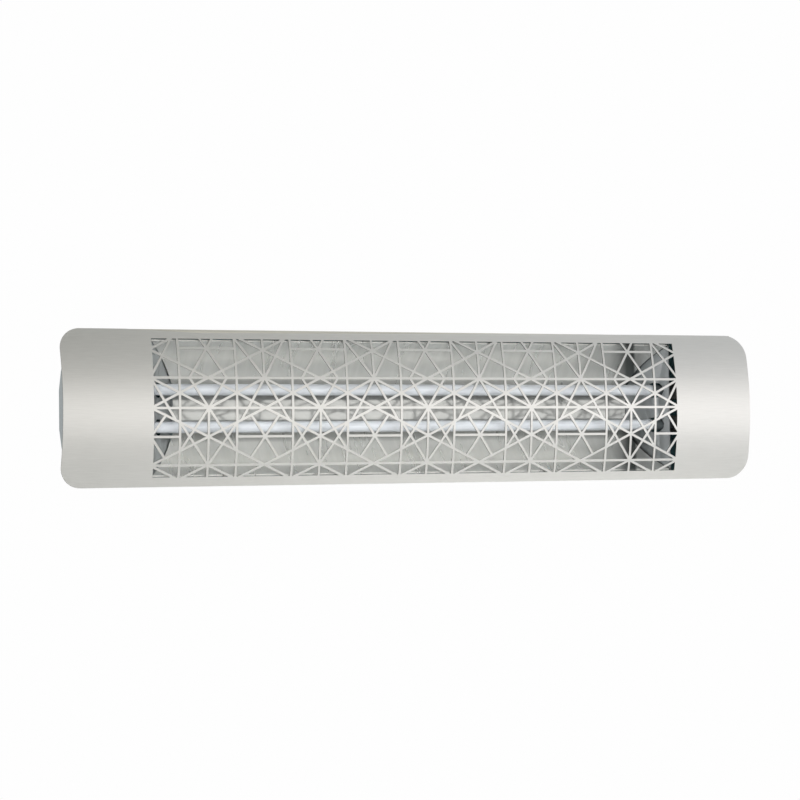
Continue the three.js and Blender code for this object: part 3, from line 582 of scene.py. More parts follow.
def makeHousing():
    low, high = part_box("housing")
    path = roundCorners(housingPath(), housing["foldRadius"])
    piece = prism(sheetOutline(path, housing["sheet"]), "x", low.x, high.x)
    # the top corners are cut away at both ends
    for end in (-1, 1):
        edges = sorted((end * housing["notchStart"], end * (high.x + past)))
        notch = box((edges[0], low.y - past, housing["notchBottom"]), (edges[1], high.y, high.z + past))
        withCutter(piece, notch, 'DIFFERENCE')
    back = crownY + housing["back"]
    gland = middle("gland_body")
    earth = middle("earth_screw")
    backScrews = screwNodes("swivel_screw") + screwNodes("carrier_screw")
    backScrews += ["reflector_screw_left", "reflector_screw_right"]
    holes = [
        holeCutters(housing["screwHole"], cutLengths["short"],
                    [facingBack(middle(n).x, back, middle(n).z) for n in backScrews]),
        holeCutters(housing["glandHole"], cutLengths["short"], [facingBack(gland.x, back, gland.z)], 48),
        holeCutters(housing["earthHole"], cutLengths["short"], [facingBack(earth.x, back, earth.z)]),
        holeCutters(housing["capScrewHole"], cutLengths["middle"], capScrewPlaces().values()),
    ]
    withCutter(piece, joinPieces(holes), 'DIFFERENCE')
    breakEdges(piece, housing["edgeBreak"], 1, 60)
    smooth(piece)
    finishPiece(piece, "housing_shell", ["housing"], heaterBody, "millStainless")
    # the inner faces get the dark steel: painted shade for the shadowed inside of the housing
    piece.data.materials.append(materials["paintedShadeSteel"])
    core = Vector((crownY + (housing["front"] + housing["back"]) / 2, 0))
    for face in piece.data.polygons:
        place = Vector((face.center.y, face.center.z))
        if face.normal.x ** 2 < 0.5 and Vector((face.normal.y, face.normal.z)).dot(place - core) < 0:
            face.material_index = 1


def capOutline():
    half = endCap["halfHeight"]
    h = housing
    corners = [
        (h["front"], half), (slopeDepth(half), half), h["slopeBack"], (h["back"], h["backHalfHeight"]),
        (h["back"], -h["backHalfHeight"]), (h["slopeBack"][0], -h["slopeBack"][1]),
        (slopeDepth(half), -half), (h["front"], -half),
    ]
    start = (h["front"], 0)
    return roundCorners(atDepth([start] + corners + [start]), endCap["cornerRadius"])[:-1]


def makeEndCaps():
    for side, end in (("left", -1), ("right", 1)):
        node = "end_cap_" + side
        low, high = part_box(node)
        outer = high.x if end > 0 else low.x
        inner = outer - end * endCap["sheet"]
        cap = prism([tuple(p) for p in capOutline()], "x", inner, outer)
        offset = slopeOut * (housing["sheet"] + touchGap)
        reach = [slopeFront.lerp(slopeBack, endCap[share]) - offset for share in ("flangeFrom", "flangeTo")]
        for level in (1, -1):
            path = atDepth([(p.x, p.y * level) for p in reach][::level])
            flange = prism(sheetOutline(path, housing["sheet"]), "x",
                           inner - end * endCap["flangeLength"], inner + end * endCap["sheet"] / 2)
            withCutter(cap, flange, 'UNION')
            stud = middle(f"fascia_nut_{side}_{'upper' if level > 0 else 'lower'}")
            tabFront = crownY + housing["front"]
            edges = sorted((stud.x - end * endCap["tabReach"], inner + end * endCap["sheet"] / 2))
            tab = box((edges[0], tabFront, stud.z - endCap["tabHalfHeight"]),
                      (edges[1], tabFront + endCap["sheet"], stud.z + endCap["tabHalfHeight"]))
            withCutter(cap, tab, 'UNION')
            studPlace = facingBack(stud.x, tabFront, stud.z)
            withCutter(cap, holeCutters(endCap["studHole"], cutLengths["short"], [studPlace]), 'DIFFERENCE')
        screws = [matrix for name, matrix in capScrewPlaces().items() if side in name]
        withCutter(cap, holeCutters(housing["capScrewHole"], cutLengths["middle"], screws), 'DIFFERENCE')
        breakEdges(cap, endCap["edgeBreak"], 2, 50)
        smooth(cap)
        finishPiece(cap, f"end_cap_plate_{side}", [node], heaterBody, "aluminisedSteel")
    print("housing and end caps folded")


# screws, nuts and bolts; each is modelled standing on z = 0 with its head up, then copied into place

fasteners = {
    "capScrew": {"head": 0.0035, "height": 0.0024, "shank": 0.002, "length": 0.0057},
    "backScrew": {"head": 0.0038, "height": 0.0024, "shank": 0.002, "length": 0.007},
    "swivelScrew": {"head": 0.0046, "height": 0.003, "shank": 0.0025, "length": 0.010},
    "earthScrew": {"head": 0.004, "height": 0.0024, "shank": 0.002, "length": 0.006},
    "panShape": ((0.0, 1.0), (0.42, 0.98), (0.7, 0.9), (0.9, 0.68), (0.98, 0.4), (1.0, 0.12), (0.97, 0.0)),
    "recessReach": 0.56, "recessWidth": 0.2, "recessDepth": 0.62,
    "hexChamfer": 0.88, "barrelShare": 1.02, "chamferAngle": 30, "countersink": 0.0005,
    "fasciaNutBore": 0.0029,
}


def crossCutter(look):
    reach = look["head"] * fasteners["recessReach"]
    half = look["head"] * fasteners["recessWidth"] / 2
    top = look["height"] * 1.1
    bottom = look["height"] * (1 - fasteners["recessDepth"])
    blades = []
    for angle in (0, 90):
        outline = [(-reach, top), (-reach * 0.5, bottom), (reach * 0.5, bottom), (reach, top)]
        blade = prism(outline, "y", -half, half)
        blade.data.transform(Matrix.Rotation(math.radians(angle), 4, 'Z'))
        blades.append(blade)
    withCutter(blades[0], blades[1], 'UNION')
    return blades[0]


def panScrew(look):
    profile = [(look["head"] * r, look["height"] * h) for r, h in fasteners["panShape"]]
    profile += [(look["shank"], 0), (look["shank"], -look["length"] + 0.0006),
                (look["shank"] * 0.7, -look["length"]), (0, -look["length"])]
    piece = turn(profile, "z", (0, 0, 0), 40)
    withCutter(piece, crossCutter(look), 'DIFFERENCE')
    smooth(piece, 40)
    return piece


def placeScrews(look, places, name, material="zincPlate"):
    original = panScrew(look)
    for node, matrix in places.items():
        screw = ownCopy(original, matrix)
        finishPiece(screw, node.replace("_screw", name), [node], heaterBody, material)
    removePiece(original)


def seat(node, headHeight):
    # where the head's underside of a screw on the back sits
    centre = middle(node)
    return facingBack(centre.x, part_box(node)[1].y - headHeight, centre.z)


def makeScrews():
    gap = Matrix.Translation((0, 0, touchGap))
    capPlaces = {node: matrix @ gap for node, matrix in capScrewPlaces().items()}
    placeScrews(fasteners["capScrew"], capPlaces, "_panhead")
    backNodes = screwNodes("carrier_screw") + ["reflector_screw_left", "reflector_screw_right"]
    height = fasteners["backScrew"]["height"]
    placeScrews(fasteners["backScrew"], {n: seat(n, height) for n in backNodes}, "_panhead")
    height = fasteners["swivelScrew"]["height"]
    swivelPlaces = {n: seat(n, height) for n in screwNodes("swivel_screw")}
    placeScrews(fasteners["swivelScrew"], swivelPlaces, "_panhead")
    earth = middle("earth_screw")
    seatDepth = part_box("earth_screw")[0].y + fasteners["earthScrew"]["height"]
    turned = Matrix.Translation((earth.x, seatDepth, earth.z))
    turned = turned @ Matrix.Rotation(math.radians(90), 4, 'X')
    placeScrews(fasteners["earthScrew"], {"earth_screw": turned}, "_stud", "turnedBrass")
    print("screws placed")


def hexNut(radius, bore, length):
    # a hexagon with both ends chamfered and its bore countersunk, its middle at the origin
    bpy.ops.object.select_all(action='DESELECT')
    bpy.ops.mesh.primitive_cylinder_add(vertices=6, radius=radius, depth=length)
    nut = bpy.context.object
    half = length / 2
    flat = radius * fasteners["hexChamfer"]
    wide = radius * fasteners["barrelShare"]
    drop = (wide - flat) * math.tan(math.radians(fasteners["chamferAngle"]))
    profile = [(0, -half), (flat, -half), (wide, -half + drop), (wide, half - drop), (flat, half), (0, half)]
    barrel = turn(profile, "z", (0, 0, 0), 48)
    withCutter(nut, barrel, 'INTERSECT')
    if bore:
        sink = fasteners["countersink"]
        hole = turn([(0, -half - sink), (bore + sink * 2, -half - sink), (bore, -half + sink),
                     (bore, half - sink), (bore + sink * 2, half + sink), (0, half + sink)],
                    "z", (0, 0, 0), 40)
        withCutter(nut, hole, 'DIFFERENCE')
    return nut


# shares of the pitch
threadShape = {"depth": 0.55, "crestStart": 0.42, "crestEnd": 0.58, "trim": 0.1}


def thread(radius, pitch, turns):
    # one pitch of the thread's outline, wound up along z and cut flat at both ends
    root = radius - pitch * threadShape["depth"]
    ridge = [(root, 0), (radius, pitch * threadShape["crestStart"]),
             (radius, pitch * threadShape["crestEnd"]), (root, pitch)]
    bottom = pitch * (1 - threadShape["trim"])
    top = pitch * (turns - threadShape["trim"])
    piece = drawLine([Vector((reach, 0, height)) for reach, height in ridge])
    stopEditing()
    applyModifier(piece, 'SCREW', angle=2 * math.pi, screw_offset=pitch, steps=24, render_steps=24,
                  iterations=turns, axis='Z')
    startEditing(piece)
    bpy.ops.mesh.remove_doubles(threshold=1e-6)
    bpy.ops.mesh.bisect(plane_co=(0, 0, bottom), plane_no=(0, 0, 1), use_fill=True, clear_inner=True)
    bpy.ops.mesh.select_all(action='SELECT')
    bpy.ops.mesh.bisect(plane_co=(0, 0, top), plane_no=(0, 0, 1), use_fill=True, clear_outer=True)
    stopEditing()
    tidyMesh(piece)
    return piece


def makeFasciaNuts():
    low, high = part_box("fascia_nut_left_lower")
    original = hexNut((high.z - low.z) / 2, fasteners["fasciaNutBore"], high.y - low.y)
    for node in screwNodes("fascia_nut"):
        nut = ownCopy(original, Matrix.Translation(middle(node)) @ Matrix.Rotation(math.radians(90), 4, 'X'))
        smooth(nut, 25)
        finishPiece(nut, node.replace("nut", "hex_nut"), [node], heaterBody, "zincPlate")
    removePiece(original)


# the reflector: curved wings, a flat panel between them and a slanted plate at each end

reflector = {
    "front": (0.0196, 0.0886), "bulge": (0.051, 0.069), "back": (0.0685, 0.040),
    "tail": (0.0742, 0.0305), "flange": (0.01995, 0.0908),
    "sheet": 0.0008, "curveSteps": 32, "clearance": 0.0004,
    "panelDepth": 0.075, "panelHalfHeight": 0.027, "panelFold": 0.004, "foldRadius": 0.0012,
    "plateFront": (0.384, 0.020), "plateBack": (0.341, 0.0765),
    "plateSheet": 0.0012, "rim": 0.0025, "plateBackHalf": 0.032, "tubeHole": 0.011,
    "legHalfHeight": 0.020, "footLength": 0.018, "footHalfHeight": 0.016, "footHole": 0.0024,
    "legStart": 0.076, "legBack": 0.0855, "edgeBreak": 0.0002,
    "blankHalf": 0.4, "plateBlankHalf": 0.1, "plateMargin": 0.02,  # sheets before they are cut
    "holeInside": 0.03, "holeOutside": 0.09,  # how far the tubes' cutters run each way
}


def wingCurve():
    start, pull, end = (Vector(reflector[key]) for key in ("front", "bulge", "back"))
    points = []
    for step in range(reflector["curveSteps"] + 1):
        t = step / reflector["curveSteps"]
        points.append(start * (1 - t) ** 2 + pull * 2 * t * (1 - t) + end * t ** 2)
    # flat from the curve's end to just above the panel
    return points + [Vector(reflector["tail"])]


def cutEnds(piece):
    # both ends follow the slanted end plates
    r = reflector
    frontX, frontDepth = r["plateFront"]
    slant = Vector((r["plateBack"][0] - frontX, r["panelDepth"] - frontDepth))
    startEditing(piece)
    for end in (-1, 1):
        bpy.ops.mesh.select_all(action='SELECT')
        bpy.ops.mesh.bisect(
            plane_co=(end * (frontX - r["clearance"]), crownY + frontDepth, 0),
            plane_no=(end * slant.y, -slant.x, 0), use_fill=True, clear_outer=True)
    stopEditing()


def makeWings():
    for level, side in (("upper", 1), ("lower", -1)):
        path = [Vector(reflector["flange"])] + wingCurve()
        path = atDepth([(p.x, p.y * side) for p in path][::-side])
        outline = sheetOutline(path, reflector["sheet"])
        wing = prism(outline, "x", -reflector["blankHalf"], reflector["blankHalf"])
        cutEnds(wing)
        smooth(wing, 40)
        finishPiece(wing, f"reflector_wing_sheet_{level}", [f"reflector_wing_{level}"], heaterBody,
                    "brightAluminium")


def makeBackPanel():
    r = reflector
    back = r["panelDepth"] + r["panelFold"]
    corners = [(back, -r["panelHalfHeight"]), (r["panelDepth"], -r["panelHalfHeight"]),
               (r["panelDepth"], r["panelHalfHeight"]), (back, r["panelHalfHeight"])]
    path = roundCorners(atDepth(corners), r["foldRadius"])
    panel = prism(sheetOutline(path, r["sheet"]), "x", -r["blankHalf"], r["blankHalf"])
    cutEnds(panel)
    smooth(panel, 40)
    finishPiece(panel, "reflector_panel_sheet", ["reflector_back_panel"], heaterBody, "panelAluminium")


def makeEndPlates():
    r = reflector
    frontX, frontDepth = r["plateFront"]
    backX, backDepth = r["plateBack"]
    curve = [(p.x, p.y + r["rim"]) for p in wingCurve()]
    half = curve + [(backDepth, r["plateBackHalf"])]
    outline = atDepth(half + [(depth, -height) for depth, height in reversed(half)])
    holeDepth = crownY + middleDepth("quartz_tube_upper")
    for side, end in (("left", -1), ("right", 1)):
        slant = [(frontX, frontDepth), (frontX + r["plateSheet"], frontDepth),
                 (backX + r["plateSheet"], backDepth), (backX, backDepth)]
        plate = prism([(end * x, crownY + depth) for x, depth in slant], "z",
                      -r["plateBlankHalf"], r["plateBlankHalf"])
        shape = prism([tuple(p) for p in outline], "x",
                      end * (backX - r["plateMargin"]), end * (frontX + r["plateMargin"]))
        withCutter(plate, shape, 'INTERSECT')
        for node in ("quartz_tube_lower", "quartz_tube_upper"):
            first, last = sorted((end * (backX - r["holeInside"]), end * (backX + r["holeOutside"])))
            hole = rod(r["tubeHole"], "x", (first, holeDepth, middle(node).z),
                       (last, holeDepth, middle(node).z), 48)
            withCutter(plate, hole, 'DIFFERENCE')
        edges = sorted((end * backX, end * (backX + r["plateSheet"])))
        leg = box((edges[0], crownY + r["legStart"], -r["legHalfHeight"]),
                  (edges[1], crownY + r["legBack"], r["legHalfHeight"]))
        withCutter(plate, leg, 'UNION')
        edges = sorted((end * backX, end * (backX + r["footLength"])))
        foot = box((edges[0], crownY + r["legBack"] - r["plateSheet"], -r["footHalfHeight"]),
                   (edges[1], crownY + r["legBack"], r["footHalfHeight"]))
        withCutter(plate, foot, 'UNION')
        screw = middle(f"reflector_screw_{side}")
        screwPlace = facingBack(screw.x, crownY + r["legBack"], screw.z)
        withCutter(plate, holeCutters(r["footHole"], cutLengths["short"], [screwPlace]), 'DIFFERENCE')
        breakEdges(plate, r["edgeBreak"], 1, 50)
        smooth(plate, 40)
        finishPiece(plate, f"reflector_end_sheet_{side}", [f"reflector_end_plate_{side}"], heaterBody,
                    "dulledAluminium")
    print("reflector folded")


# the elements: coils in quartz tubes, their ceramic holders and the plates that carry them

element = {
    "bore": 0.00625, "endRound": 0.0005, "tubeSteps": 64,
    "wire": 0.00045, "pitch": 0.0022, "coilLength": 0.716, "plugLength": 0.012, "pin": 0.0012,
    "collarLength": 0.005, "body": 0.0115, "tubeSeat": 0.014, "leadHole": 0.002, "fit": 0.0004,
    "holderChamfer": 0.0008, "edgeBreak": 0.0002,
    "plugFit": 1.05, "plugTaper": 0.001, "pinTip": 0.6, "pinTipLength": 0.0004,
}
carrier = {
    "sheet": 0.0015, "front": 0.024, "halfHeight": 0.044, "shoulder": 0.070,
    "backHalfHeight": 0.022, "footHalfHeight": 0.020, "corner": 0.003, "hole": 0.0119,
    "footHole": 0.0024, "edgeBreak": 0.00025,
}


def makeTubes():
    e = element
    for level in ("lower", "upper"):
        node = f"quartz_tube_{level}"
        low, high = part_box(node)
        half = (high.x - low.x) / 2
        radius = (high.z - low.z) / 2
        soft = e["endRound"]
        profile = [(e["bore"], half - soft), (e["bore"] + soft, half), (radius - soft, half),
                   (radius, half - soft), (radius, -half + soft), (radius - soft, -half),
                   (e["bore"] + soft, -half), (e["bore"], -half + soft), (e["bore"], half - soft)]
        tube = turn(profile, "x", middle(node), e["tubeSteps"])
        smooth(tube, 50)
        finishPiece(tube, f"quartz_sleeve_{level}", [node], heaterBody, "satinQuartz")


def makeCoils():
    e = element
    low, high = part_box("heating_coil_lower")
    centreRadius = (high.z - low.z) / 2 - e["wire"]
    turns = round(e["coilLength"] / e["pitch"])
    bpy.ops.object.select_all(action='DESELECT')
    bpy.ops.mesh.primitive_circle_add(vertices=6, radius=e["wire"])
    coil = bpy.context.object
    coil.data.transform(Matrix.Translation((centreRadius, 0, -turns * e["pitch"] / 2))
                        @ Matrix.Rotation(math.radians(90), 4, 'X'))
    applyModifier(coil, 'SCREW', angle=2 * math.pi, screw_offset=e["pitch"], steps=12, render_steps=12,
                  iterations=turns, axis='Z')
    startEditing(coil)
    bpy.ops.mesh.remove_doubles(threshold=1e-6)
    bpy.ops.mesh.select_all(action='DESELECT')
    bpy.ops.mesh.select_non_manifold()
    bpy.ops.mesh.fill_holes(sides=0)
    bpy.ops.mesh.select_all(action='SELECT')
    bpy.ops.mesh.normals_make_consistent(inside=False)
    stopEditing()
    plug = centreRadius - e["wire"] * e["plugFit"]
    coilEnd = e["coilLength"] / 2
    pinEnd = (high.x - low.x) / 2
    pins = []
    for end in (-1, 1):
        profile = [(0, coilEnd - e["plugLength"]), (plug, coilEnd - e["plugLength"]), (plug, coilEnd),
                   (e["pin"], coilEnd + e["plugTaper"]), (e["pin"], pinEnd - e["pinTipLength"]),
                   (e["pin"] * e["pinTip"], pinEnd), (0, pinEnd)]
        pins.append(turn([(r, end * along) for r, along in profile], "z", (0, 0, 0), 24))
    coil = joinPieces([coil] + pins)
    smooth(coil, 60)
    for level in ("lower", "upper"):
        node = f"heating_coil_{level}"
        copy = ownCopy(coil, Matrix.Translation(middle(node)) @ Matrix.Rotation(math.radians(90), 4, 'Y'))
        finishPiece(copy, f"wound_coil_{level}", [node], heaterBody, "resistanceWire")
    removePiece(coil)
    print("coils wound:", turns, "turns each")


def makeHolders():
    e = element
    tubeLow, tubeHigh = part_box("quartz_tube_lower")
    tubeRadius = (tubeHigh.z - tubeLow.z) / 2
    for node in screwNodes("ceramic_holder"):
        low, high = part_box(node)
        end = 1 if middle(node).x > 0 else -1
        length = high.x - low.x
        collar = (high.z - low.z) / 2
        seat = tubeRadius + e["fit"]
        cut = e["holderChamfer"]
        profile = [(seat, 0), (collar - cut, 0), (collar, cut), (collar, e["collarLength"] - cut),
                   (collar - cut, e["collarLength"]), (e["body"], e["collarLength"]),
                   (e["body"], length - cut), (e["body"] - cut, length), (e["leadHole"], length),
                   (e["leadHole"], e["tubeSeat"]), (seat, e["tubeSeat"]), (seat, 0)]
        inner = low.x if end > 0 else high.x
        profile = [(r, end * along) for r, along in profile]
        holder = turn(profile, "x", (inner, middle(node).y, middle(node).z), 48)
        breakEdges(holder, e["edgeBreak"], 1, 50)
        smooth(holder, 50)
        finishPiece(holder, node.replace("holder", "end_holder"), [node], heaterBody, "steatite")


def makeCarriers():
    c = carrier
    for side, end in (("left", -1), ("right", 1)):
        node = f"element_carrier_{side}"
        low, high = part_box(node)
        inner = low.x if end > 0 else high.x
        outer = high.x if end > 0 else low.x
        back = high.y - crownY
        upper = [(c["front"], c["halfHeight"]), (c["shoulder"], c["halfHeight"]), (back, c["backHalfHeight"])]
        corners = upper + [(depth, -height) for depth, height in reversed(upper)]
        start = (c["front"], 0)
        outline = roundCorners(atDepth([start] + corners + [start]), c["corner"])[:-1]
        plate = prism([tuple(p) for p in outline], "x", inner, inner + end * c["sheet"])
        edges = sorted((inner, outer))
        foot = box((edges[0], high.y - c["sheet"], -c["footHalfHeight"]),
                   (edges[1], high.y, c["footHalfHeight"]))
        withCutter(plate, foot, 'UNION')
        holes = []
        for level in ("lower", "upper"):
            tube = middle(f"quartz_tube_{level}")
            holes.append(rod(c["hole"], "x", (inner - 0.01, tube.y, tube.z),
                             (inner + 0.01, tube.y, tube.z), 48))
        screws = [middle(f"carrier_screw_{side}_{level}") for level in ("lower", "upper")]
        screwPlaces = [facingBack(s.x, high.y, s.z) for s in screws]
        holes.append(holeCutters(c["footHole"], cutLengths["middle"], screwPlaces))
        withCutter(plate, joinPieces(holes), 'DIFFERENCE')
        breakEdges(plate, c["edgeBreak"], 2, 50)
        smooth(plate, 40)
        # the carrier plates get the dark steel: painted shade where they show in the gaps at the ends
        finishPiece(plate, f"element_carrier_plate_{side}", [node], heaterBody, "paintedShadeSteel")
    print("elements, holders and carriers made")


# wiring at the left end, and the link between the tubes at the right end

wiring = {
    "lead": 0.0016,
    "terminalFront": 0.068, "portSpacing": 0.013,
    "portHalf": 0.004, "portFront": 0.072, "portDepth": 0.007, "portReach": 0.007,
    "wellRadius": 0.0026, "wellOffset": 0.005, "wellDepth": 0.004, "chamfer": 0.0006,
    "screwRadius": 0.0021, "screwTop": 0.0026, "screwBottom": 0.0046,
    "slotTop": 0.002, "slotBottom": 0.0032, "slotHalfLength": 0.0025, "slotHalfWidth": 0.0003,
}


def sleeve(name, node, points, material):
    curve = bpy.data.curves.new(name, 'CURVE')
    curve.dimensions = '3D'
    curve.bevel_depth = wiring["lead"]
    curve.bevel_resolution = 4
    curve.resolution_u = 8
    curve.use_fill_caps = True
    spline = curve.splines.new('BEZIER')
    spline.bezier_points.add(len(points) - 1)
    for knot, (x, depth, z) in zip(spline.bezier_points, points):
        knot.co = (x, crownY + depth, z)
        knot.handle_left_type = 'AUTO'
        knot.handle_right_type = 'AUTO'
    piece = bpy.data.objects.new(name, curve)
    bpy.context.scene.collection.objects.link(piece)
    onlySelect(piece)
    bpy.ops.object.convert(target='MESH')
    piece = bpy.context.object
    tidyMesh(piece)
    smooth(piece, 50)
    return finishPiece(piece, name, [node], heaterBody, material)


def makeLeads():
    tube = middle("quartz_tube_upper")
    depth = middleDepth("quartz_tube_upper")
    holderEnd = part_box("ceramic_holder_right_upper")[1].x + touchGap
    terminal = middle("terminal_block")
    leadX = terminal.x + 0.003
    top = wiring["terminalFront"] - touchGap
    for level, side in (("lower", -1), ("upper", 1)):
        sleeve(f"glass_sleeve_{level}", f"lead_{level}", [
            (-holderEnd, depth, side * tube.z), (-holderEnd - 0.007, depth, side * tube.z),
            (-holderEnd - 0.020, depth + 0.003, side * 0.022), (leadX, depth + 0.014, side * 0.015),
            (leadX, top - 0.006, side * 0.012), (leadX, top, side * 0.012),
        ], "glassSleeve")
    sleeve("glass_sleeve_link", "link_lead", [
        (holderEnd, depth, tube.z), (holderEnd + 0.008, depth, tube.z), (holderEnd + 0.022, depth, 0.014),
        (holderEnd + 0.026, depth, 0),
        (holderEnd + 0.022, depth, -0.014), (holderEnd + 0.008, depth, -tube.z), (holderEnd, depth, -tube.z),
    ], "glassSleeve")
    earth = middle("earth_screw")
    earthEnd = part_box("earth_screw")[0].y - crownY - touchGap
    sleeve("earth_sleeve", "earth_lead", [
        (leadX, top, 0), (leadX, top - 0.007, 0), (terminal.x - 0.006, top - 0.014, 0.005),
        (earth.x, top - 0.008, earth.z - 0.002), (earth.x, top + 0.004, earth.z),
        (earth.x, earthEnd, earth.z),
    ], "earthSleeve")


def makeTerminalBlock():
    w = wiring
    low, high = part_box("terminal_block")
    block = box(low, high)
    breakEdges(block, w["chamfer"], 3)
    ports = [port * w["portSpacing"] for port in (-1, 0, 1)]
    x = middle("terminal_block").x - w["wellOffset"]
    for z in ports:
        mouth = (low.x - past, crownY + w["portFront"], z - w["portHalf"])
        inside = (mouth[0] + w["portReach"], mouth[1] + w["portDepth"], z + w["portHalf"])
        withCutter(block, box(mouth, inside), 'DIFFERENCE')
        well = rod(w["wellRadius"], "y", (x, low.y - 2 * past, z), (x, low.y + w["wellDepth"], z), 32)
        withCutter(block, well, 'DIFFERENCE')
    smooth(block, 40)
    screws = []
    for z in ports:
        # a slotted brass screw at the bottom of each well
        screw = rod(w["screwRadius"], "y", (x, low.y + w["screwTop"], z),
                    (x, low.y + w["screwBottom"], z), 28)
        slot = box((x - w["slotHalfLength"], low.y + w["slotTop"], z - w["slotHalfWidth"]),
                   (x + w["slotHalfLength"], low.y + w["slotBottom"], z + w["slotHalfWidth"]))
        withCutter(screw, slot, 'DIFFERENCE')
        screws.append(screw)
    finishPiece(block, "terminal_block_body", ["terminal_block"], heaterBody, "steatite")
    screws = joinPieces(screws)
    smooth(screws, 40)
    finishPiece(screws, "terminal_screws", [], heaterBody, "turnedBrass")


gland = {
    "bore": 0.0045, "thread": 0.0079, "flange": 0.012, "flangeLength": 0.005,
    "tailLength": 0.009, "nutRadius": 0.0115, "nutTip": 0.0095, "nutLength": 0.016, "nutFlats": 0.011,
    "lockLength": 0.004, "fit": 0.0004, "footShare": 0.93, "flatsShare": 0.98, "tipRound": 0.0008,
}


def makeGland():
    g = gland
    low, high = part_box("gland_body")
    centre = middle("gland_body")
    flangeFront = crownY + housing["back"] + touchGap
    place = Matrix.Rotation(math.radians(-90), 4, 'X')
    flange = hexNut(g["flange"], 0, g["flangeLength"])
    flange.data.transform(place)
    flange.data.transform(Matrix.Translation((centre.x, flangeFront + g["flangeLength"] / 2, 0)))
    length = high.y - low.y
    sleeveBody = turn([(g["bore"], 0), (g["thread"], 0), (g["thread"], length), (g["bore"], length),
                       (g["bore"], 0)], "y", (centre.x, low.y, 0), 48)
    withCutter(flange, rod(g["bore"] + 0.001, "y", (centre.x, flangeFront - 0.004, 0),
                           (centre.x, flangeFront + 0.01, 0), 40), 'DIFFERENCE')
    withCutter(flange, sleeveBody, 'UNION')
    smooth(flange, 30)
    finishPiece(flange, "gland_sleeve", ["gland_body"], heaterBody, "mouldedPolyamide")
    nutFront = flangeFront + g["flangeLength"] + touchGap
    nut = hexNut(g["nutRadius"], 0, g["nutLength"] * 2)
    wide = g["nutRadius"] * fasteners["barrelShare"]
    soft = g["tipRound"]
    dome = turn([(0, -past), (wide, -past), (wide, g["nutFlats"] - past),
                 (g["nutRadius"] * g["flatsShare"], g["nutFlats"]),
                 (g["nutTip"] + soft, g["nutLength"] - soft * 1.5), (g["nutTip"], g["nutLength"] - soft / 2),
                 (g["nutTip"] - soft, g["nutLength"]), (0, g["nutLength"])], "z", (0, 0, 0), 64)
    foot = turn([(0, 0), (g["nutRadius"] * g["footShare"], 0), (wide, soft),
                 (wide, 2 * g["nutLength"]), (0, 2 * g["nutLength"])], "z", (0, 0, 0), 64)
    withCutter(nut, dome, 'INTERSECT')
    withCutter(nut, foot, 'INTERSECT')
    tail = g["tailLength"] + 0.0005 - touchGap
    bore = turn([(0, -0.001), (g["thread"] + g["fit"], -0.001), (g["thread"] + g["fit"], tail),
                 (g["bore"] + g["fit"], tail), (g["bore"] + g["fit"], 0.02), (0, 0.02)], "z", (0, 0, 0), 48)
    withCutter(nut, bore, 'DIFFERENCE')
    nut.data.transform(Matrix.Translation((centre.x, nutFront, 0)) @ place)
    smooth(nut, 30)
    finishPiece(nut, "gland_dome", ["gland_dome_nut"], heaterBody, "mouldedPolyamide")
    lockMiddle = middle("gland_lock_nut")
    lock = hexNut(g["flange"], g["thread"] + g["fit"], g["lockLength"])
    lock.data.transform(Matrix.Translation(lockMiddle) @ place)
    smooth(lock, 30)
    finishPiece(lock, "gland_ring_nut", ["gland_lock_nut"], heaterBody, "mouldedPolyamide")
    print("wiring and gland made")


# the brackets: a plate on the housing and a plate on the wall, each with two ears, and a bolt through them

wallBracket = {
    "sheet": 0.003, "bend": 0.003, "earRadius": 0.012, "earBase": 0.018,
    "plateHalf": 0.048, "notch": 0.001, "corner": 0.007, "boltHole": 0.0044,
    "screwHole": 0.0033, "screwOffset": 0.033, "edgeBreak": 0.0003,
}
swivelBracket = {
    "sheet": 0.0025, "bend": 0.0025, "earRadius": 0.012, "earBase": 0.022, "boltHole": 0.0044,
    "screwHole": 0.0029, "screwOffset": 0.015, "edgeBreak": 0.0003,
}
pivot = {"bolt": 0.004, "hex": 0.0075, "headLength": 0.0053, "washer": 0.009, "washerSheet": 0.0016,
         "nutLength": 0.007, "pitch": 0.00125, "threadTurns": 9, "overlap": 0.0005, "fit": 0.0004,
         "washerRound": 0.0002}


def bentStrip(low, high, base, tip, look):
    # a strip bent to a U, open towards the pivot
    ends = (low.x, high.x) if tip < base else (high.x, low.x)
    path = [Vector((ends[0], tip)), Vector((ends[0], base)), Vector((ends[1], base)), Vector((ends[1], tip))]
    path = roundCorners(path, look["sheet"] + look["bend"], 6)
    return prism(sheetOutline(path, look["sheet"]), "z", -look["earBase"], look["earBase"])


def cutEars(piece, low, high, base, pivotY, look):
    # seen from the side, the ears narrow from the bend to a round end about the bolt
    facing = 1 if pivotY > base else -1
    start = base + facing * (look["sheet"] + past)
    wide = look["earBase"] + 0.04  # clear of the whole plate
    points = [(start, -look["earBase"] - past / 3), (start, -wide), (base - facing * past, -wide),
              (base - facing * past, wide), (start, wide), (start, look["earBase"] + past / 3)]
    arcSteps = 24
    for step in range(arcSteps + 1):
        angle = math.pi / 2 - math.pi * step / arcSteps
        reach = look["earRadius"] * math.cos(angle)
        points.append((pivotY + facing * reach, look["earRadius"] * math.sin(angle)))
    withCutter(piece, prism(points, "x", low.x - past, high.x + past), 'INTERSECT')
    hole = rod(look["boltHole"], "x", (low.x - past, pivotY, 0), (high.x + past, pivotY, 0), 40)
    withCutter(piece, hole, 'DIFFERENCE')


def selectFaces(piece, wanted):
    # in edit mode: only the faces whose middle and normal pass the test
    bpy.ops.mesh.select_mode(type='FACE')
    bpy.ops.mesh.select_all(action='DESELECT')
    stopEditing()
    for face in piece.data.polygons:
        face.select = wanted(face.center, face.normal)
    bpy.ops.object.mode_set(mode='EDIT')


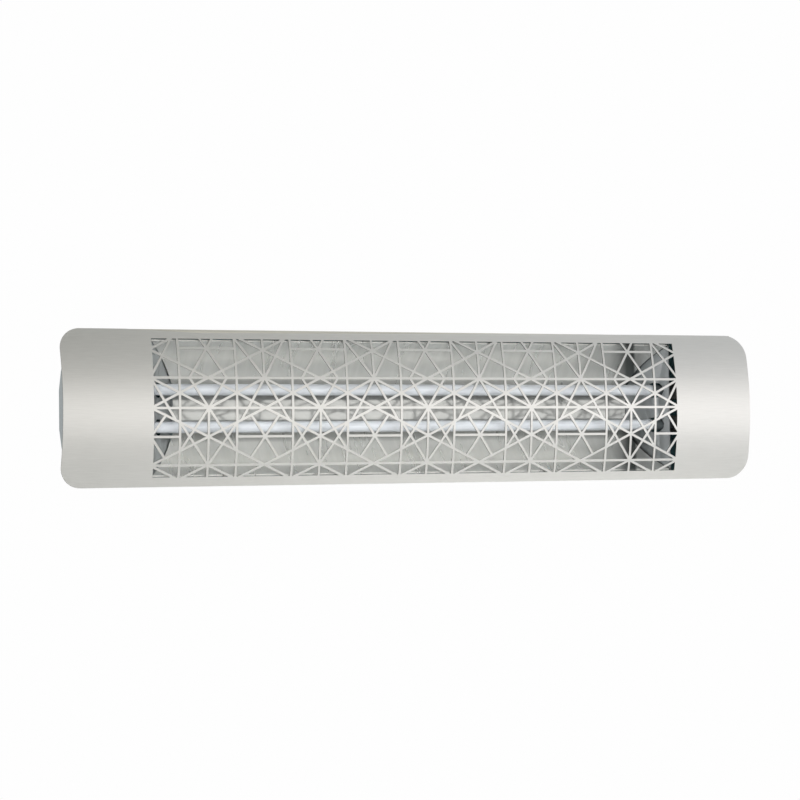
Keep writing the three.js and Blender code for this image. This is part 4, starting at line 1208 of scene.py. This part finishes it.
def extrudeFaces(piece, wanted, offset):
    selectFaces(piece, wanted)
    bpy.ops.mesh.extrude_region_move(TRANSFORM_OT_translate={"value": offset})


def growPlate(piece, centre, width, look):
    # from the strip's web, a plate above and below the ears, as wide as they are apart
    web = width / 2 - look["sheet"] - look["bend"]
    startEditing(piece)
    for end in (-1, 1):
        bpy.ops.mesh.select_all(action='SELECT')
        bpy.ops.mesh.bisect(plane_co=(centre.x + end * web, 0, 0), plane_no=(1, 0, 0))
    for level in (-1, 1):
        start = look["earBase"]
        for reach in (look["notch"], look["plateHalf"] - look["earBase"] - look["notch"]):
            extrudeFaces(piece, lambda c, n: n.z * level > 0.9 and abs(c.x - centre.x) < web * 0.9
                         and abs(c.z * level - start) < 1e-5, (0, 0, level * reach))
            start += reach
    for end in (-1, 1):
        extrudeFaces(piece, lambda c, n: n.x * end > 0.9 and abs(c.z) > look["earBase"] + look["notch"]
                     and abs(abs(c.x - centre.x) - web) < 1e-5, (end * (width / 2 - web), 0, 0))
    bpy.ops.mesh.select_mode(type='EDGE')
    bpy.ops.mesh.select_all(action='DESELECT')
    stopEditing()
    points = piece.data.vertices
    for edge in piece.data.edges:
        ends = [points[i].co for i in edge.vertices]
        upright = all(abs(abs(p.z) - look["plateHalf"]) < 1e-5 for p in ends)
        outer = all(abs(abs(p.x - centre.x) - width / 2) < 1e-5 for p in ends)
        edge.select = upright and outer
    bpy.ops.object.mode_set(mode='EDIT')
    bpy.ops.mesh.bevel(offset=look["corner"], segments=6)
    stopEditing()


def makeWallBrackets():
    w = wallBracket
    for side in ("left", "right"):
        node = f"wall_bracket_{side}"
        low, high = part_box(node)
        centre = middle(node)
        bracket = bentStrip(low, high, high.y, low.y, w)
        growPlate(bracket, centre, high.x - low.x, w)
        cutEars(bracket, low, high, high.y, middle(f"pivot_bolt_{side}").y, w)
        holes = [facingBack(centre.x, high.y, z) for z in (-w["screwOffset"], w["screwOffset"])]
        withCutter(bracket, holeCutters(w["screwHole"], cutLengths["long"], holes, 32), 'DIFFERENCE')
        breakEdges(bracket, w["edgeBreak"], 2, 50)
        smooth(bracket, 35)
        finishPiece(bracket, f"wall_plate_{side}", [node], wallBody, "galvanisedSteel")


def makeSwivelBrackets():
    s = swivelBracket
    for side in ("left", "right"):
        node = f"swivel_bracket_{side}"
        low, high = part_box(node)
        bracket = bentStrip(low, high, low.y, high.y, s)
        cutEars(bracket, low, high, low.y, middle(f"pivot_bolt_{side}").y, s)
        holes = [facingBack(middle(node).x, low.y, z) for z in (-s["screwOffset"], s["screwOffset"])]
        withCutter(bracket, holeCutters(s["screwHole"], cutLengths["long"], holes, 28), 'DIFFERENCE')
        breakEdges(bracket, s["edgeBreak"], 2, 50)
        smooth(bracket, 35)
        finishPiece(bracket, f"swivel_plate_{side}", [node], heaterBody, "galvanisedSteel")


def makePivots():
    p = pivot
    alongX = Matrix.Rotation(math.radians(90), 4, 'Y')
    for side in ("left", "right"):
        low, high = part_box(f"pivot_bolt_{side}")
        centre = middle(f"pivot_bolt_{side}")
        head = hexNut(p["hex"], 0, p["headLength"])
        head.data.transform(Matrix.Translation((0, 0, p["headLength"] / 2)))
        threadLength = p["pitch"] * (p["threadTurns"] - 1)
        length = high.x - low.x
        plain = length - threadLength + p["overlap"]
        shank = rod(p["bolt"], "z", (0, 0, p["headLength"] - past), (0, 0, plain), 40)
        withCutter(head, shank, 'UNION')
        screwed = thread(p["bolt"], p["pitch"], p["threadTurns"])
        threadTop = p["pitch"] * (p["threadTurns"] - threadShape["trim"])
        screwed.data.transform(Matrix.Translation((0, 0, length - threadTop)))
        bolt = joinPieces([head, screwed])
        bolt.data.transform(Matrix.Translation((low.x, centre.y, centre.z)) @ alongX)
        smooth(bolt, 30)
        finishPiece(bolt, f"hex_bolt_{side}", [f"pivot_bolt_{side}"], wallBody, "zincPlate")
        node = f"pivot_washer_{side}"
        hole = p["bolt"] + p["fit"]
        half = p["washerSheet"] / 2
        soft = p["washerRound"]
        washer = turn([(hole, -half), (p["washer"] - soft, -half), (p["washer"], -half + soft),
                       (p["washer"], half - soft), (p["washer"] - soft, half), (hole, half), (hole, -half)],
                      "x", middle(node), 48)
        smooth(washer, 40)
        finishPiece(washer, f"plain_washer_{side}", [node], wallBody, "zincPlate")
        node = f"pivot_nut_{side}"
        nut = hexNut(p["hex"], hole, p["nutLength"])
        nut.data.transform(Matrix.Translation(middle(node)) @ alongX)
        smooth(nut, 30)
        finishPiece(nut, f"hex_nut_{side}", [node], wallBody, "zincPlate")
    print("brackets and pivots made")


makeFascia()
makeHousing()
makeEndCaps()
makeScrews()
makeFasciaNuts()
makeWings()
makeBackPanel()
makeEndPlates()
makeTubes()
makeCoils()
makeHolders()
makeCarriers()
makeLeads()
makeTerminalBlock()
makeGland()
makeWallBrackets()
makeSwivelBrackets()
makePivots()


# camera, light and floor

studio = {
    "camera": (-1.0946, -2.8562, -0.0904),
    "turn": (91.9809, 0.8025, -21.3),
    "lens": 95.569,
    "floorHeight": -1.0,
    "floorSize": 4.2,
}


def makeCamera():
    camera = bpy.data.objects.new("camera", bpy.data.cameras.new("camera"))
    camera.location = studio["camera"]
    camera.rotation_euler = [math.radians(a) for a in studio["turn"]]
    camera.data.lens = studio["lens"]
    camera.data.sensor_width = 36
    camera.data.clip_end = 100
    bpy.context.scene.collection.objects.link(camera)
    bpy.context.scene.camera = camera


def makeLight(name, place, target, width, height, power):
    light = bpy.data.objects.new(name, bpy.data.lights.new(name, 'AREA'))
    light.data.shape = 'RECTANGLE'
    light.data.size = width
    light.data.size_y = height
    light.data.energy = power
    light.location = place
    light.rotation_euler = (Vector(target) - Vector(place)).to_track_quat('-Z', 'Y').to_euler()
    bpy.context.scene.collection.objects.link(light)
    return light


sky = {
    # what the sheets mirror, by height: a pale band at the heater's own height, greyer above and below
    "leftLevels": [(0.0, "#ecebe8"), (0.22, "#dcdddd"), (0.36, "#dfe0e1"), (0.46, "#f1efec"),
                   (0.54, "#f6f2ee"), (0.64, "#c8c8c4"), (0.74, "#b2b2ae"), (0.84, "#aaaba5"),
                   (1.0, "#d8d8d6")],
    # the same to the right of the heater's left end, with a brighter top
    "rightLevels": [(0.0, "#f0efec"), (0.22, "#ecebea"), (0.36, "#eff0ee"), (0.46, "#f4f1ee"),
                    (0.54, "#f6f2ee"), (0.64, "#e2e3e2"), (0.74, "#d2d4d4"), (0.84, "#c9cbca"),
                    (1.0, "#d8d8d6")],
    "turn": (0.235, 0.3),
    # and from left to right: darkest just left of the camera's mirrored view, brightest at the right
    "sides": [(0.0, "#d6d8da"), (0.32, "#d2d4d6"), (0.52, "#bcbcb6"), (0.6, "#c7c7c2"),
              (0.64, "#ebebe8"), (0.68, "#fefefc"), (0.706, "#dededb"), (0.725, "#e6e6e4"),
              (0.745, "#f4f5f8"), (1.0, "#f4f7fc")],
    "strength": 1.3,
}


def skyRamp(tree, part, stops):
    share = addNode(tree, "ShaderNodeMapRange", {"From Min": -1, "From Max": 1}, {"Value": part})
    return colourRamp(tree, share.outputs["Result"], [(place, linear(colour)) for place, colour in stops])


def makeWorld():
    # white behind the object; the rest is only seen mirrored
    world = bpy.data.worlds.new("studio_white")
    world.use_nodes = True
    bpy.context.scene.world = world
    tree = world.node_tree
    seen = tree.nodes["Background"]
    seen.inputs["Color"].default_value = linear("#fefefe")
    direction = addNode(tree, "ShaderNodeTexCoord")
    parts = addNode(tree, "ShaderNodeSeparateXYZ", links={"Vector": direction.outputs["Generated"]})
    turn = addNode(tree, "ShaderNodeMapRange", {"From Min": sky["turn"][0], "From Max": sky["turn"][1]},
                   {"Value": parts.outputs["X"]})
    upwards = addNode(tree, "ShaderNodeMix", {"data_type": 'RGBA'}, {
        "Factor": turn.outputs["Result"], 6: skyRamp(tree, parts.outputs["Z"], sky["leftLevels"]),
        7: skyRamp(tree, parts.outputs["Z"], sky["rightLevels"])})
    across = skyRamp(tree, parts.outputs["X"], sky["sides"])
    both = addNode(tree, "ShaderNodeMix", {"data_type": 'RGBA', "blend_type": 'MULTIPLY', "Factor": 1},
                   {6: upwards.outputs[2], 7: across})
    mirrored = addNode(tree, "ShaderNodeBackground", {"Strength": sky["strength"]},
                       {"Color": both.outputs[2]})
    path = addNode(tree, "ShaderNodeLightPath")
    mix = addNode(tree, "ShaderNodeMixShader", links={
        0: path.outputs["Is Camera Ray"], 1: mirrored.outputs[0], 2: seen.outputs[0]})
    tree.links.new(mix.outputs[0], tree.nodes["World Output"].inputs["Surface"])


def makeFloor():
    bpy.ops.object.select_all(action='DESELECT')
    bpy.ops.mesh.primitive_plane_add(size=studio["floorSize"], location=(0, 0, studio["floorHeight"]))
    floor = bpy.context.object
    floor.name = "studio_floor"
    material = newMaterial("pale_floor", Roughness=0.9, Base_Color=linear("#f2f2f0"))[0]
    floor.data.materials.append(material)


def makeStudio():
    makeCamera()
    makeWorld()
    makeFloor()
    makeLight("front_softbox", (1.2, -3.3, 0.0), (0, 0, 0), 3.4, 1.1, 10.5)
    makeLight("overhead", (1.0, -0.4, 2.2), (0, 0, 0), 2.6, 1.6, 7)
    # two soft lights that the metal doesn't mirror: one into the trough and one down on the floor
    fill = makeLight("trough_fill", (-0.3, -2.6, 0.3), (0, 0, 0), 2.8, 2.0, 29)
    fill.data.spread = math.radians(70)
    fill.visible_glossy = False
    wash = makeLight("floor_wash", (0.9, -1.3, -0.2), (0.9, -1.3, -1.0), 1.3, 1.2, 3.4)
    wash.data.spread = math.radians(90)
    wash.visible_glossy = False
    bpy.context.scene.view_settings.view_transform = 'Standard'
    print("studio ready")


makeStudio()
